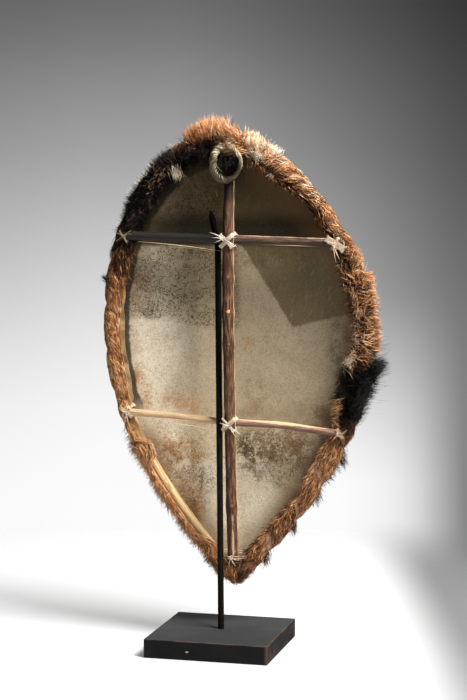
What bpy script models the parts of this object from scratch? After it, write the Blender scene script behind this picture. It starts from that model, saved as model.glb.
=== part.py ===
"""A hide shield seen from its holder's side, hung on a bent rod that stands in a square block.

The rawhide face is held in a bent hoop with a hairy binding. Two bars lie across the hoop, an upright stick is
bowed over them as the grip, and pale thongs tie each crossing. Inside the shield's own frame X runs across it,
Y from the holder towards the front, and Z up from its foot, with the hoop's centre line in the plane Y = 0.
"""

import math

import bmesh
import bpy
from mathutils import Matrix, Vector, noise
from mathutils.geometry import interpolate_bezier

GAP = 0.0003

# Stand
BLOCK_SIDE = 0.200
BLOCK_HEIGHT = 0.030
BLOCK_EDGE = 0.0010
ROD_DIAMETER = 0.010
ROD_SOCKET_DEPTH = 0.020
ROD_LEAN = math.radians(1.7)
ROD_BEND_BELOW_BAR = 0.012
ROD_TIP_LENGTH = 0.047
ROD_TIP_TURN = math.radians(13)
ROD_POINT_LENGTH = 0.010
ROD_POINT_SHARE = 0.3

# Where the shield hangs
SHIELD_ASIDE = 0.0134
SHIELD_FOOT_HEIGHT = 0.0726
HANG_CLEARANCE = 0.0005

# Line of the hoop
HOOP_DIAMETER = 0.014
HOOP_FOOT_HEIGHT = 0.009
HOOP_CROWN_HEIGHT = 0.712
HOOP_CROWN_ASIDE = 0.004
HOOP_CROWN_SPREAD = (0.068, 0.117)
HOOP_HALF_WIDTH = (0.217, 0.191)
HOOP_WIDEST_HEIGHT = (0.415, 0.401)
HOOP_FULLNESS_BELOW = (0.146, 0.145)
HOOP_FULLNESS_ABOVE = (0.150, 0.164)
HOOP_FOOT_SPREAD = (0.192, 0.177)
HOOP_FOOT_ANGLE = (math.radians(45.7), math.radians(50.4))
HOOP_END_TRIM = 0.0098
HOOP_STATIONS = 50

# Thongs
THONG_DIAMETER = 0.0024
THONG_SLACK = 0.0005
TIE_CLEARANCE = 0.0020
CROSS_TIE_EASE = 0.0003
HOOP_TIE_EASE = 0.0008
HOOP_TIE_INWARD = 0.0004
CROWN_TIE_EASE = 0.0020
CROWN_TIE_INWARD = 0.0013
FOOT_TURN_SPACING = 0.0056
FOOT_TIE_ABOVE_STICK = 0.010
KNOT_RADIUS = 0.0042
TURN_POINTS = 8

# Rawhide face
HIDE_THICKNESS = 0.003
HIDE_OVER_HOOP = 0.005
HIDE_DOME = 0.020
HIDE_FLAT_RIM = 0.88
HIDE_WARP = 0.0022
HIDE_WARP_SCALE = 9.0
HIDE_STATIONS = 44
HIDE_RINGS = (1.0, 0.89, 0.68, 0.44, 0.20)

# Crossbars
UPPER_BAR_DIAMETER = 0.015
UPPER_BAR_HEIGHT = 0.5595
UPPER_BAR_TILT = math.radians(-1.6)
LOWER_BAR_DIAMETER = 0.012
LOWER_BAR_HEIGHT = 0.2655
LOWER_BAR_TILT = math.radians(-4.0)
BAR_OVER_HOOP = 0.0070
BAR_STATIONS = 15
BAR_SIDES = 8
BAR_ROUGHNESS = 0.07
BAR_ROUGH_SCALE = 25

# Upright stick
STICK_WIDTH = 0.018
STICK_TOP_WIDTH = 0.014
STICK_THICKNESS = 0.012
STICK_FOOT_HEIGHT = 0.034
STICK_FOOT_ASIDE = -0.0012
STICK_TOP_ASIDE = 0.0125
STICK_OVER_CROWN = 0.0060
STICK_STATIONS = 18
STICK_KNOTS = (0.127, 0.393, 0.445, 0.500)
STICK_KNOT_SWELL = 0.0012
STICK_KNOT_SPREAD = 0.024
STICK_SECTION = ((-1, 0), (-0.97, 0.45), (-0.62, 0.88), (0, 1), (0.62, 0.88), (0.97, 0.45), (1, 0))
SEAT_GAP = 0.0007

# Hairy binding
BINDING_WALL = 0.0018
BINDING_SNUG = 0.0013
BINDING_REACH = 0.014
BINDING_BARE_REACH = 0.002
BARE_FROM, BARE_TO, BARE_FADE = 0.050, 0.275, 0.035
WRAP_COUNT = 24
WRAP_STATIONS = 6
WRAP_SLANT = 0.42
WRAP_SWELL = 0.0050
LOCK_DEPTH = 0.0024
LOCK_SCALE = 95.0
RIGHT_FULLNESS = 0.0018
TIE_ROOM = 0.014
TIE_EDGE = 0.0034
FOOT_EDGE = 0.0012
FOOT_FAN = 3
FOOT_FAN_STEP = 0.006

# Big tufts of the binding, as (side, height above the foot, length, half of its spread)
TUFTS = (
    (1, 0.372, 0.018, 0.024),
    (1, 0.200, 0.010, 0.016),
    (1, 0.030, 0.007, 0.016),
    (1, 0.520, 0.006, 0.020),
    (1, 0.455, 0.006, 0.060),
    (-1, 0.706, 0.019, 0.034),
    (1, 0.706, 0.009, 0.030),
    (-1, 0.630, 0.006, 0.030),
)

# Loose ends of the thongs, as (across, up, droop) from their knot
TAILS = {
    "upper_cross": ((-0.019, 0.010, 0.002), (0.020, -0.012, 0.001)),
    "lower_cross": ((0.018, -0.012, 0.001), (0.015, 0.013, 0.001)),
    "upper_right": ((0.010, -0.024, 0.0), (0.004, -0.026, 0.0)),
    "upper_left": ((0.012, 0.004, 0.001),),
    "lower_left": ((-0.002, -0.022, 0.0),),
    "lower_right": ((-0.010, -0.010, 0.0),),
    "foot": ((0.009, 0.012, 0.0),),
}

# Carrying loop
LOOP_WIDTH = 0.055
LOOP_HEIGHT = 0.062
LOOP_THIN = 0.0035
LOOP_THICK = 0.0070
LOOP_BELOW_CROWN = 0.032
LOOP_ASIDE = -0.003
LOOP_POINTS = 16

HOOP_RADIUS = HOOP_DIAMETER / 2
THONG_RADIUS = THONG_DIAMETER / 2
THONG_REACH = THONG_SLACK + THONG_DIAMETER
BINDING_ROOM = HOOP_RADIUS + THONG_REACH + TIE_CLEARANCE
SNUG_ROOM = HOOP_RADIUS + BINDING_SNUG
BINDING_PROUD = SNUG_ROOM + BINDING_WALL + WRAP_SWELL
BINDING_STATIONS = WRAP_COUNT * WRAP_STATIONS
HIDE_BACK = BINDING_ROOM
HIDE_FRONT = HIDE_BACK + HIDE_THICKNESS
UPPER_BAR_RADIUS = UPPER_BAR_DIAMETER / 2
LOWER_BAR_RADIUS = LOWER_BAR_DIAMETER / 2
UPPER_BAR_DEPTH = -(HOOP_RADIUS + GAP + UPPER_BAR_RADIUS)
LOWER_BAR_DEPTH = -(HOOP_RADIUS + GAP + LOWER_BAR_RADIUS)

COLOURS = {
    "block black": ((0.022, 0.022, 0.023), 0.62, 0.0),
    "rod black": ((0.012, 0.012, 0.013), 0.45, 1.0),
    "rawhide": ((0.46, 0.40, 0.30), 0.60, 0.0),
    "peeled wood": ((0.50, 0.33, 0.17), 0.65, 0.0),
    "dark bark": ((0.085, 0.040, 0.022), 0.60, 0.0),
    "brown bark": ((0.20, 0.10, 0.05), 0.60, 0.0),
    "hair": ((0.22, 0.085, 0.030), 0.75, 0.0),
    "thong": ((0.62, 0.54, 0.40), 0.60, 0.0),
}


def material(name):
    """The Principled material of this name, made once."""
    found = bpy.data.materials.get(name)
    if found is None:
        colour, roughness, metallic = COLOURS[name]
        found = bpy.data.materials.new(name)
        found.use_nodes = True
        shader = found.node_tree.nodes["Principled BSDF"]
        shader.inputs["Base Color"].default_value = (*colour, 1)
        shader.inputs["Roughness"].default_value = roughness
        shader.inputs["Metallic"].default_value = metallic
    return found


def clear_scene():
    for obj in list(bpy.data.objects):
        bpy.data.objects.remove(obj, do_unlink=True)


def new_collection(name):
    made = bpy.data.collections.new(name)
    bpy.context.scene.collection.children.link(made)
    return made


def add_object(name, mesh, collection, finish, parent=None):
    """A smooth-shaded object of this mesh, under its parent."""
    obj = bpy.data.objects.new(name, mesh)
    collection.objects.link(obj)
    obj.parent = parent
    mesh.materials.clear()
    mesh.materials.append(material(finish))
    mesh.shade_smooth()
    mesh.set_sharp_from_angle(angle=math.radians(40))
    return obj


def loft_mesh(name, rings, closed=False):
    """One skin over rings of equally many points, joined end to end or capped."""
    shape = bmesh.new()
    rows = [[shape.verts.new(point) for point in ring] for ring in rings]
    across = len(rows[0])
    pairs = list(zip(rows, rows[1:]))
    if closed:
        pairs.append((rows[-1], rows[0]))
    for near, far in pairs:
        for i in range(across):
            j = (i + 1) % across
            shape.faces.new((near[i], near[j], far[j], far[i]))
    if not closed:
        shape.faces.new(rows[0])
        shape.faces.new(rows[-1])
    bmesh.ops.recalc_face_normals(shape, faces=shape.faces)
    mesh = bpy.data.meshes.new(name)
    shape.to_mesh(mesh)
    shape.free()
    return mesh


def tube_mesh(name, points, radius, cyclic=False, radii=None, sides_resolution=1):
    """A round bar along the points, as a mesh with welded caps."""
    curve = bpy.data.curves.new(name, "CURVE")
    curve.dimensions = "3D"
    curve.bevel_depth = radius
    curve.bevel_resolution = sides_resolution
    curve.use_fill_caps = not cyclic
    spline = curve.splines.new("POLY")
    spline.points.add(len(points) - 1)
    for i, point in enumerate(points):
        spline.points[i].co = (*point, 1)
        spline.points[i].radius = 1.0 if radii is None else radii[i] / radius
    spline.use_cyclic_u = cyclic
    holder = bpy.data.objects.new(name + " line", curve)
    bpy.context.scene.collection.objects.link(holder)
    bpy.context.view_layer.update()
    seen = holder.evaluated_get(bpy.context.evaluated_depsgraph_get())
    mesh = bpy.data.meshes.new_from_object(seen)
    bpy.data.objects.remove(holder, do_unlink=True)
    bpy.data.curves.remove(curve)
    shape = bmesh.new()
    shape.from_mesh(mesh)
    bmesh.ops.remove_doubles(shape, verts=shape.verts, dist=0.00001)
    bmesh.ops.recalc_face_normals(shape, faces=shape.faces)
    shape.to_mesh(mesh)
    shape.free()
    mesh.name = name
    return mesh


def joined(name, meshes, groups, finish, parent):
    """An object of the first mesh, with the others united to it as hidden helpers."""
    whole = add_object(name, meshes[0], groups["shield"], finish, parent)
    for i, mesh in enumerate(meshes[1:]):
        helper = add_object(f"{name} helper {i + 1}", mesh, groups["cutters"], finish, parent)
        helper.hide_render = True
        helper.display_type = "WIRE"
        union = whole.modifiers.new(f"union {i + 1}", "BOOLEAN")
        union.operation = "UNION"
        union.object = helper


def blend(low, high, share):
    return low + (high - low) * share


def smooth_share(value, start, end):
    """0 before start, 1 after end, and a smooth rise between them."""
    share = min(max((value - start) / (end - start), 0.0), 1.0)
    return share * share * (3 - 2 * share)


def through(knots, at):
    """A smooth curve through (place, value) knots, read at a place."""
    for i in range(len(knots) - 1):
        if at <= knots[i + 1][0] or i == len(knots) - 2:
            break
    start, end = knots[i], knots[i + 1]
    before, after = knots[max(i - 1, 0)], knots[min(i + 2, len(knots) - 1)]
    span = end[0] - start[0]
    share = min(max((at - start[0]) / span, 0.0), 1.0)
    rise_start = (end[1] - before[1]) / (end[0] - before[0]) * span
    rise_end = (after[1] - start[1]) / (after[0] - start[0]) * span
    square, cube = share**2, share**3
    return (
        (2 * cube - 3 * square + 1) * start[1]
        + (cube - 2 * square + share) * rise_start
        + (3 * square - 2 * cube) * end[1]
        + (cube - square) * rise_end
    )


class HoopLine:
    """The closed line of the hoop, from its foot up the right side, over the crown and down the left side."""

    DENSE = 60

    def __init__(self):
        foot = Vector((0, 0, HOOP_FOOT_HEIGHT))
        crown = Vector((HOOP_CROWN_ASIDE, 0, HOOP_CROWN_HEIGHT))
        right = Vector((HOOP_HALF_WIDTH[0], 0, HOOP_WIDEST_HEIGHT[0]))
        left = Vector((-HOOP_HALF_WIDTH[1], 0, HOOP_WIDEST_HEIGHT[1]))
        rises = [Vector((math.cos(angle), 0, math.sin(angle))) for angle in HOOP_FOOT_ANGLE]
        leave = foot + rises[0] * HOOP_FOOT_SPREAD[0]
        arrive = foot + Vector((-rises[1].x, 0, rises[1].z)) * HOOP_FOOT_SPREAD[1]
        below = [Vector((0, 0, -fullness)) for fullness in HOOP_FULLNESS_BELOW]
        above = [Vector((0, 0, fullness)) for fullness in HOOP_FULLNESS_ABOVE]
        spread = [Vector((reach, 0, 0)) for reach in HOOP_CROWN_SPREAD]
        pieces = (
            (foot, leave, right + below[0], right),
            (right, right + above[0], crown + spread[0], crown),
            (crown, crown - spread[1], left + above[1], left),
            (left, left + below[1], arrive, foot),
        )
        self.points = []
        for piece in pieces:
            self.points += interpolate_bezier(*piece, self.DENSE)[:-1]
        self.points.append(foot)
        self.lengths = [0.0]
        for start, end in zip(self.points, self.points[1:]):
            self.lengths.append(self.lengths[-1] + (end - start).length)
        self.total = self.lengths[-1]

    def at(self, length):
        """The point and the direction of travel at a length along the line."""
        length = min(max(length, 0.0), self.total)
        i = 0
        while i < len(self.points) - 2 and self.lengths[i + 1] < length:
            i += 1
        step = self.points[i + 1] - self.points[i]
        share = (length - self.lengths[i]) / (self.lengths[i + 1] - self.lengths[i])
        return self.points[i] + step * share, step.normalized()

    def outward(self, length):
        """The direction away from the shield's middle, across the line."""
        along = self.at(length)[1]
        return Vector((along.z, 0, -along.x))

    def length_at(self, side, height):
        """The length where the line passes this height on the right side (1) or the left side (-1)."""
        crown = self.lengths[2 * self.DENSE - 2]
        for i, (start, end) in enumerate(zip(self.points, self.points[1:])):
            on_side = (self.lengths[i] < crown) == (side > 0)
            if on_side and (start.z - height) * (end.z - height) <= 0 and start.z != end.z:
                return self.lengths[i] + (end - start).length * (height - start.z) / (end.z - start.z)
        return crown

    def crossing(self, point, tilt, side):
        """The length where a straight bar through the point, tilted so, crosses the line on one side."""
        normal = Vector((-math.sin(tilt), 0, math.cos(tilt)))
        for i, (start, end) in enumerate(zip(self.points, self.points[1:])):
            above, below = ((here - point).dot(normal) for here in (start, end))
            if (start.x - point.x) * side > 0 and above * below <= 0 and above != below:
                return self.lengths[i] + (end - start).length * above / (above - below)
        return 0.0

    def over_crown(self, across):
        """The length where the line passes this distance across the shield, at its crown."""
        for i, (start, end) in enumerate(zip(self.points, self.points[1:])):
            if start.x >= across > end.x and start.z > HOOP_WIDEST_HEIGHT[0]:
                return self.lengths[i] + (end - start).length * (start.x - across) / (start.x - end.x)
        return self.total / 2


class Upright:
    """The path of the upright stick: its place across the shield and the depth of its flat back."""

    def __init__(self):
        self.foot = STICK_FOOT_HEIGHT
        self.top = HOOP_CROWN_HEIGHT + STICK_OVER_CROWN
        on_hoop = -(HOOP_RADIUS + SEAT_GAP)
        self.backs = (
            (self.foot, on_hoop),
            (LOWER_BAR_HEIGHT, -(HOOP_RADIUS + GAP + LOWER_BAR_DIAMETER + SEAT_GAP)),
            (UPPER_BAR_HEIGHT, -(HOOP_RADIUS + GAP + UPPER_BAR_DIAMETER + SEAT_GAP)),
            (HOOP_CROWN_HEIGHT - HOOP_RADIUS, on_hoop),
            (self.top, on_hoop),
        )

    def across(self, height):
        return blend(STICK_FOOT_ASIDE, STICK_TOP_ASIDE, (height - self.foot) / (self.top - self.foot))

    def back(self, height):
        return through(self.backs, height)

    def half_width(self, height):
        """Half of the stick's width, drawn in above the upper bar."""
        share = smooth_share(height, UPPER_BAR_HEIGHT, HOOP_CROWN_HEIGHT - HOOP_DIAMETER)
        return blend(STICK_WIDTH, STICK_TOP_WIDTH, share) / 2

    def front(self, height, spread=0.0):
        """The depth of the side towards the holder, at its furthest within this spread of the height."""
        return min(self.back(height + shift) for shift in (-spread, 0, spread)) - STICK_THICKNESS

    def tilt(self):
        return math.atan2(self.top - self.foot, STICK_TOP_ASIDE - STICK_FOOT_ASIDE)


HOOP = HoopLine()
UPRIGHT = Upright()
BARS = {
    "upper": (UPPER_BAR_HEIGHT, UPPER_BAR_TILT, UPPER_BAR_RADIUS, UPPER_BAR_DEPTH),
    "lower": (LOWER_BAR_HEIGHT, LOWER_BAR_TILT, LOWER_BAR_RADIUS, LOWER_BAR_DEPTH),
}


def bar_middle(name):
    """Where the bar's centre line passes behind the upright."""
    height, _, _, depth = BARS[name]
    return Vector((UPRIGHT.across(height), depth, height))


def bar_end(name, side):
    """Where the bar's centre line crosses the hoop's line, and the hoop's length there."""
    _, tilt, _, _ = BARS[name]
    middle = bar_middle(name)
    length = HOOP.crossing(middle, tilt, side)
    along = Vector((math.cos(tilt), 0, math.sin(tilt)))
    reach = (HOOP.at(length)[0] - middle).dot(along)
    return middle + along * reach, length


def hang_pose():
    """The place and lean of the shield, with one bar behind the rod and the other in front of it."""
    spacing = UPPER_BAR_HEIGHT - LOWER_BAR_HEIGHT
    stagger = LOWER_BAR_DEPTH - UPPER_BAR_DEPTH
    passage = ROD_DIAMETER + UPPER_BAR_RADIUS + LOWER_BAR_RADIUS + 2 * HANG_CLEARANCE
    lean = ROD_LEAN + math.asin(passage / math.hypot(spacing, stagger)) - math.atan2(stagger, spacing)
    foot = BLOCK_HEIGHT + SHIELD_FOOT_HEIGHT
    bar_z = foot + LOWER_BAR_DEPTH * math.sin(lean) + LOWER_BAR_HEIGHT * math.cos(lean)
    rod_y = -(bar_z - BLOCK_HEIGHT) * math.tan(ROD_LEAN)
    bar_y = rod_y + (ROD_DIAMETER / 2 + LOWER_BAR_RADIUS + HANG_CLEARANCE) / math.cos(ROD_LEAN)
    depth = bar_y - LOWER_BAR_DEPTH * math.cos(lean) + LOWER_BAR_HEIGHT * math.sin(lean)
    return Vector((SHIELD_ASIDE, depth, foot)), lean


def make_block(groups):
    """The stand's block, with a socket bored for the leaning rod."""
    bpy.ops.mesh.primitive_cube_add(size=1, location=(0, 0, BLOCK_HEIGHT / 2))
    block = bpy.context.object
    block.name = "base_block"
    block.data.transform(Matrix.Diagonal((BLOCK_SIDE, BLOCK_SIDE, BLOCK_HEIGHT, 1)))
    block.data.materials.append(material("block black"))
    edge = block.modifiers.new("worn edges", "BEVEL")
    edge.width = BLOCK_EDGE
    edge.segments = 2
    bore_length = 2 * ROD_SOCKET_DEPTH
    bpy.ops.mesh.primitive_cylinder_add(
        vertices=16, radius=ROD_DIAMETER / 2 + GAP, depth=bore_length, rotation=(ROD_LEAN, 0, 0)
    )
    bore = bpy.context.object
    bore.name = "rod socket"
    bore.location = (0, 0, BLOCK_HEIGHT)
    bore.hide_render = True
    bore.display_type = "WIRE"
    cut = block.modifiers.new("rod socket", "BOOLEAN")
    cut.object = bore
    for obj, group in ((block, groups["shield"]), (bore, groups["cutters"])):
        for old in list(obj.users_collection):
            old.objects.unlink(obj)
        group.objects.link(obj)


def make_rod(groups, place, lean):
    """The leaning rod, turned aside behind the upper bar to a blunt point."""
    climb = Vector((0, -math.sin(ROD_LEAN), math.cos(ROD_LEAN)))
    bar_z = place.z + UPPER_BAR_DEPTH * math.sin(lean) + UPPER_BAR_HEIGHT * math.cos(lean)
    foot = Vector((0, 0, BLOCK_HEIGHT)) - climb * (ROD_SOCKET_DEPTH - GAP)
    bend = Vector((0, 0, BLOCK_HEIGHT)) + climb * (
        (bar_z - BLOCK_HEIGHT) / math.cos(ROD_LEAN) - ROD_BEND_BELOW_BAR
    )
    turned = climb * math.cos(ROD_TIP_TURN) - Vector((math.sin(ROD_TIP_TURN), 0, 0))
    halfway = (climb + turned).normalized()
    radius = ROD_DIAMETER / 2
    points = [foot, bend, bend + halfway * radius * 2]
    points.append(points[-1] + turned * (ROD_TIP_LENGTH - ROD_POINT_LENGTH))
    points.append(points[-1] + turned * ROD_POINT_LENGTH)
    radii = [radius, radius, radius, radius, radius * ROD_POINT_SHARE]
    mesh = tube_mesh("stand_rod", points, radius, radii=radii, sides_resolution=3)
    add_object("stand_rod", mesh, groups["shield"], "rod black")


def make_hoop(groups, shield):
    """The bent stick, its two trimmed ends meeting at the foot."""
    count = HOOP_STATIONS
    length = HOOP.total - 2 * HOOP_END_TRIM
    points = [HOOP.at(HOOP_END_TRIM + length * i / count)[0] for i in range(count + 1)]
    mesh = tube_mesh("rim_hoop", points, HOOP_RADIUS, sides_resolution=2)
    add_object("rim_hoop", mesh, groups["shield"], "peeled wood", shield)


def hide_depth(point, ring):
    """How far the face's back lies in front of the hoop's line, flat under the binding and domed inside it."""
    share = min(ring / HIDE_FLAT_RIM, 1.0)
    calm = (1 - share**2) ** 2
    warp = noise.noise(Vector((point.x, 0.3, point.z)) * HIDE_WARP_SCALE)
    return HIDE_BACK + HIDE_DOME * calm + HIDE_WARP * warp * min(1.0, 4 * calm)


def make_hide(groups, shield):
    """The rawhide face: rings of the hoop's outline drawn in to the middle, given a wall."""
    middle = Vector((HOOP_CROWN_ASIDE, 0, (HOOP_FOOT_HEIGHT + HOOP_CROWN_HEIGHT) / 2))
    edge = []
    for i in range(HIDE_STATIONS):
        length = HOOP.total * i / HIDE_STATIONS
        outward = HOOP.outward(length) if i else Vector((0, 0, -1))
        edge.append(HOOP.at(length)[0] + outward * HIDE_OVER_HOOP)
    shape = bmesh.new()
    rows = []
    for ring in HIDE_RINGS:
        row = [middle + (point - middle) * ring for point in edge]
        rows.append([shape.verts.new((p.x, hide_depth(p, ring), p.z)) for p in row])
    hub = shape.verts.new((middle.x, hide_depth(middle, 0), middle.z))
    for i in range(HIDE_STATIONS):
        j = (i + 1) % HIDE_STATIONS
        for outer, inner in zip(rows, rows[1:]):
            shape.faces.new((outer[i], outer[j], inner[j], inner[i]))
        shape.faces.new((rows[-1][i], rows[-1][j], hub))
    mesh = bpy.data.meshes.new("hide_face")
    shape.to_mesh(mesh)
    shape.free()
    face = add_object("hide_face", mesh, groups["shield"], "rawhide", shield)
    wall = face.modifiers.new("hide thickness", "SOLIDIFY")
    wall.thickness = HIDE_THICKNESS
    wall.offset = -1


def make_bar(groups, shield, name, finish):
    """One crossbar: a slightly uneven peeled or barked stick from hoop to hoop."""
    _, _, radius, depth = BARS[name]
    ends = []
    for side in (-1, 1):
        end, _ = bar_end(name, side)
        along = (end - bar_middle(name)).normalized()
        ends.append(end + along * BAR_OVER_HOOP)
    rings = []
    for i in range(BAR_STATIONS):
        share = i / (BAR_STATIONS - 1)
        centre = ends[0].lerp(ends[1], share)
        ring = []
        for k in range(BAR_SIDES):
            angle = math.tau * k / BAR_SIDES
            rough = noise.noise(Vector((centre.x * BAR_ROUGH_SCALE, k * 0.9, depth * 500)))
            reach = radius * (1 - BAR_ROUGHNESS * (1 + rough))
            ring.append(centre + Vector((0, math.cos(angle), math.sin(angle))) * reach)
        rings.append(ring)
    mesh = loft_mesh(f"{name}_crossbar", rings)
    add_object(f"{name}_crossbar", mesh, groups["shield"], finish, shield)


def make_stick(groups, shield):
    """The upright: a half-round split stick with knots, bowed over both bars."""
    rings = []
    for i in range(STICK_STATIONS):
        height = blend(UPRIGHT.foot, UPRIGHT.top, i / (STICK_STATIONS - 1))
        near = sum(max(0.0, 1 - abs(height - knot) / STICK_KNOT_SPREAD) for knot in STICK_KNOTS)
        swell = STICK_KNOT_SWELL * near
        half = UPRIGHT.half_width(height) + swell
        back = UPRIGHT.back(height)
        ring = []
        for share, rise in STICK_SECTION:
            depth = back - (STICK_THICKNESS + swell) * rise
            ring.append(Vector((UPRIGHT.across(height) + half * share, depth, height)))
        rings.append(ring)
    mesh = loft_mesh("centre_stick", rings)
    add_object("centre_stick", mesh, groups["shield"], "dark bark", shield)


def tie_places():
    """The lengths along the hoop where thongs pass round it."""
    places = [bar_end(name, side)[1] for name in BARS for side in (-1, 1)]
    places.append(HOOP.over_crown(STICK_TOP_ASIDE))
    for side in (1, -1):
        places.append(HOOP.length_at(side, foot_tie_height()))
    return places


def foot_tie_height():
    """The height of the tie round the upright's foot."""
    return STICK_FOOT_HEIGHT + FOOT_TIE_ABOVE_STICK


def from_tie(length, places):
    """How far this length along the hoop is from the nearest tie."""
    return min(min(abs(length - place), HOOP.total - abs(length - place)) for place in places)


def bare_share(point):
    """1 at the lower left, where the binding has drawn back from the hoop."""
    if point.x > 0:
        return 0.0
    rising = smooth_share(point.z, BARE_FROM, BARE_FROM + BARE_FADE)
    return rising * (1 - smooth_share(point.z, BARE_TO - BARE_FADE, BARE_TO))


def fur_height(length, across, tufts):
    """The height of the hair over the strip: swelling wraps with pinched seams, locks and tufts."""
    phase = (length / HOOP.total * WRAP_COUNT + across * WRAP_SLANT) % 1
    swell = 1 - abs(2 * phase - 1) ** 3
    lock = noise.noise(Vector((length * LOCK_SCALE, across * 4, 2.5)))
    height = WRAP_SWELL * swell + LOCK_DEPTH * lock
    for place, reach, spread in tufts:
        away = min(abs(length - place), HOOP.total - abs(length - place))
        height += reach * max(0.0, 1 - away / spread) ** 1.4 * max(0.0, 1 - abs(across) * 1.4)
    return height


def along_path(path, share):
    """The point at this share of a broken line's length, as (r, y)."""
    steps = [math.dist(start, end) for start, end in zip(path, path[1:])]
    left = share * sum(steps)
    for start, end, step in zip(path, path[1:], steps):
        if left <= step or end is path[-1]:
            return (blend(start[0], end[0], left / step), blend(start[1], end[1], left / step))
        left -= step


def binding_ring(point, outward, length, reach_limit, places, tufts):
    """One section of the binding: hide strip round the hoop's outside, open towards the shield's middle."""
    step = HOOP.total / BINDING_STATIONS
    clear = from_tie(length, places) - TIE_ROOM
    lap = smooth_share(clear, 0, 1.2 * step)
    room = blend(BINDING_ROOM, SNUG_ROOM, lap)
    outer = room + BINDING_WALL
    reach = blend(BINDING_REACH, BINDING_BARE_REACH, bare_share(point))
    reach = min(blend(-room / 2, reach, smooth_share(clear, step, 3 * step)), reach_limit)
    front_reach = min(BINDING_REACH, reach_limit)
    front = HIDE_FRONT + SEAT_GAP
    inner_path = ((room, 0), (room, -room * 0.6), (room * 0.78, -room), (0, -room), (-reach, -room))
    outer_path = (
        (outer, 0),
        (outer, -outer * 0.45),
        (outer * 0.75, -outer * 0.84),
        (outer * 0.2, -outer * 1.04),
        (-reach, -room - BINDING_WALL / 2),
    )
    length_of = sum(math.dist(start, end) for start, end in zip(inner_path, inner_path[1:]))
    laid = blend(TIE_EDGE / length_of, 1.0, lap)
    skin = [(*along_path(outer_path, laid * share), -share) for share in (1.0, 0.66, 0.33)]
    skin.append((outer, front * 0.15, 0.0))
    skin.append((outer * 0.93, front * 0.8, 0.33))
    skin.append((HIDE_OVER_HOOP, front + BINDING_WALL, 0.66))
    skin.append((-front_reach, front + BINDING_WALL / 2, 1.0))
    full = RIGHT_FULLNESS * smooth_share(point.x, 0, HOOP_HALF_WIDTH[0] / 2)
    ring = []
    for r, y, across in skin:
        away = Vector((max(r, 0.15 * outer), y)).normalized()
        lift = fur_height(length, across, tufts) * (1 - 0.45 * abs(across)) + full
        lift = max(lift + SNUG_ROOM - room, 0)
        ring.append(point + outward * (r + away.x * lift) + Vector((0, y + away.y * lift, 0)))
    lining = [(-front_reach, front), (HIDE_OVER_HOOP + 0.0025, front), (room, HIDE_BACK - 0.001)]
    lining += [along_path(inner_path, laid * share) for share in (0.14, 0.4, 1.0)]
    ring += [point + outward * r + Vector((0, y, 0)) for r, y in lining]
    return ring


def make_binding(groups, shield):
    """The hairy strip all round the hoop, with a fan of sections about the pointed foot."""
    places = tie_places()
    tufts = [(HOOP.length_at(side, height), reach, spread) for side, height, reach, spread in TUFTS]
    sides = [HOOP.outward(0), HOOP.outward(HOOP.total)]
    narrow = math.pi / 2 - sides[0].angle(sides[1]) / 2
    rings = []
    for i in range(BINDING_STATIONS + 1):
        length = HOOP.total * i / BINDING_STATIONS
        from_foot = min(length, HOOP.total - length)
        limit = from_foot * math.tan(narrow) - FOOT_EDGE
        point = HOOP.at(length)[0]
        rings.append(binding_ring(point, HOOP.outward(length), length, limit, places, tufts))
    for i in range(1, FOOT_FAN):
        outward = sides[1].slerp(sides[0], i / FOOT_FAN)
        length = HOOP.total + i * FOOT_FAN_STEP
        rings.append(binding_ring(HOOP.at(0)[0], outward, length, -FOOT_EDGE, places, tufts))
    mesh = loft_mesh("rim_binding", rings, closed=True)
    add_object("rim_binding", mesh, groups["shield"], "hair", shield)


def turn_points(middle, angle, back, front, ease):
    """A taut closed turn round two crossing sticks: in the plane of Y and the direction at this angle.

    back and front are each (half extent along that direction, depth of the outer side), and ease is the room
    left beside them, because a stick may bend inside the turn.
    """
    along = Vector((math.cos(angle), 0, math.sin(angle)))
    reach = THONG_SLACK + THONG_RADIUS
    half = max(back[0], front[0]) + ease
    points = []
    for k in range(TURN_POINTS):
        tip = math.tau * (k + 0.5) / TURN_POINTS
        sideways = math.copysign(half, math.cos(tip)) + reach * math.cos(tip)
        depth = (back[1] if math.sin(tip) > 0 else front[1]) + reach * math.sin(tip)
        points.append(Vector((middle.x, 0, middle.z)) + along * sideways + Vector((0, depth, 0)))
    return points


def half_extent(radius, own_angle, angle):
    """Half of what a stick at its own angle spans along another angle."""
    return radius / abs(math.sin(angle - own_angle))


def knot_mesh(name, at, radius):
    """A rounded lump of knotted thong."""
    shape = bmesh.new()
    bmesh.ops.create_icosphere(shape, subdivisions=1, radius=radius)
    bmesh.ops.transform(shape, matrix=Matrix.Translation(at), verts=shape.verts)
    mesh = bpy.data.meshes.new(name)
    shape.to_mesh(mesh)
    shape.free()
    return mesh


def tied_ends(name, at, tails):
    """A knot on the holder's side, with the thong's loose ends."""
    meshes = [knot_mesh(f"{name} knot", at, KNOT_RADIUS)]
    for i, (across, up, droop) in enumerate(tails):
        end = at + Vector((across, -0.001, up))
        middle = at + Vector((across * 0.55, -0.003, up * 0.55 + droop))
        meshes.append(tube_mesh(f"{name} tail {i}", [at, middle, end], THONG_RADIUS))
    return meshes


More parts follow.
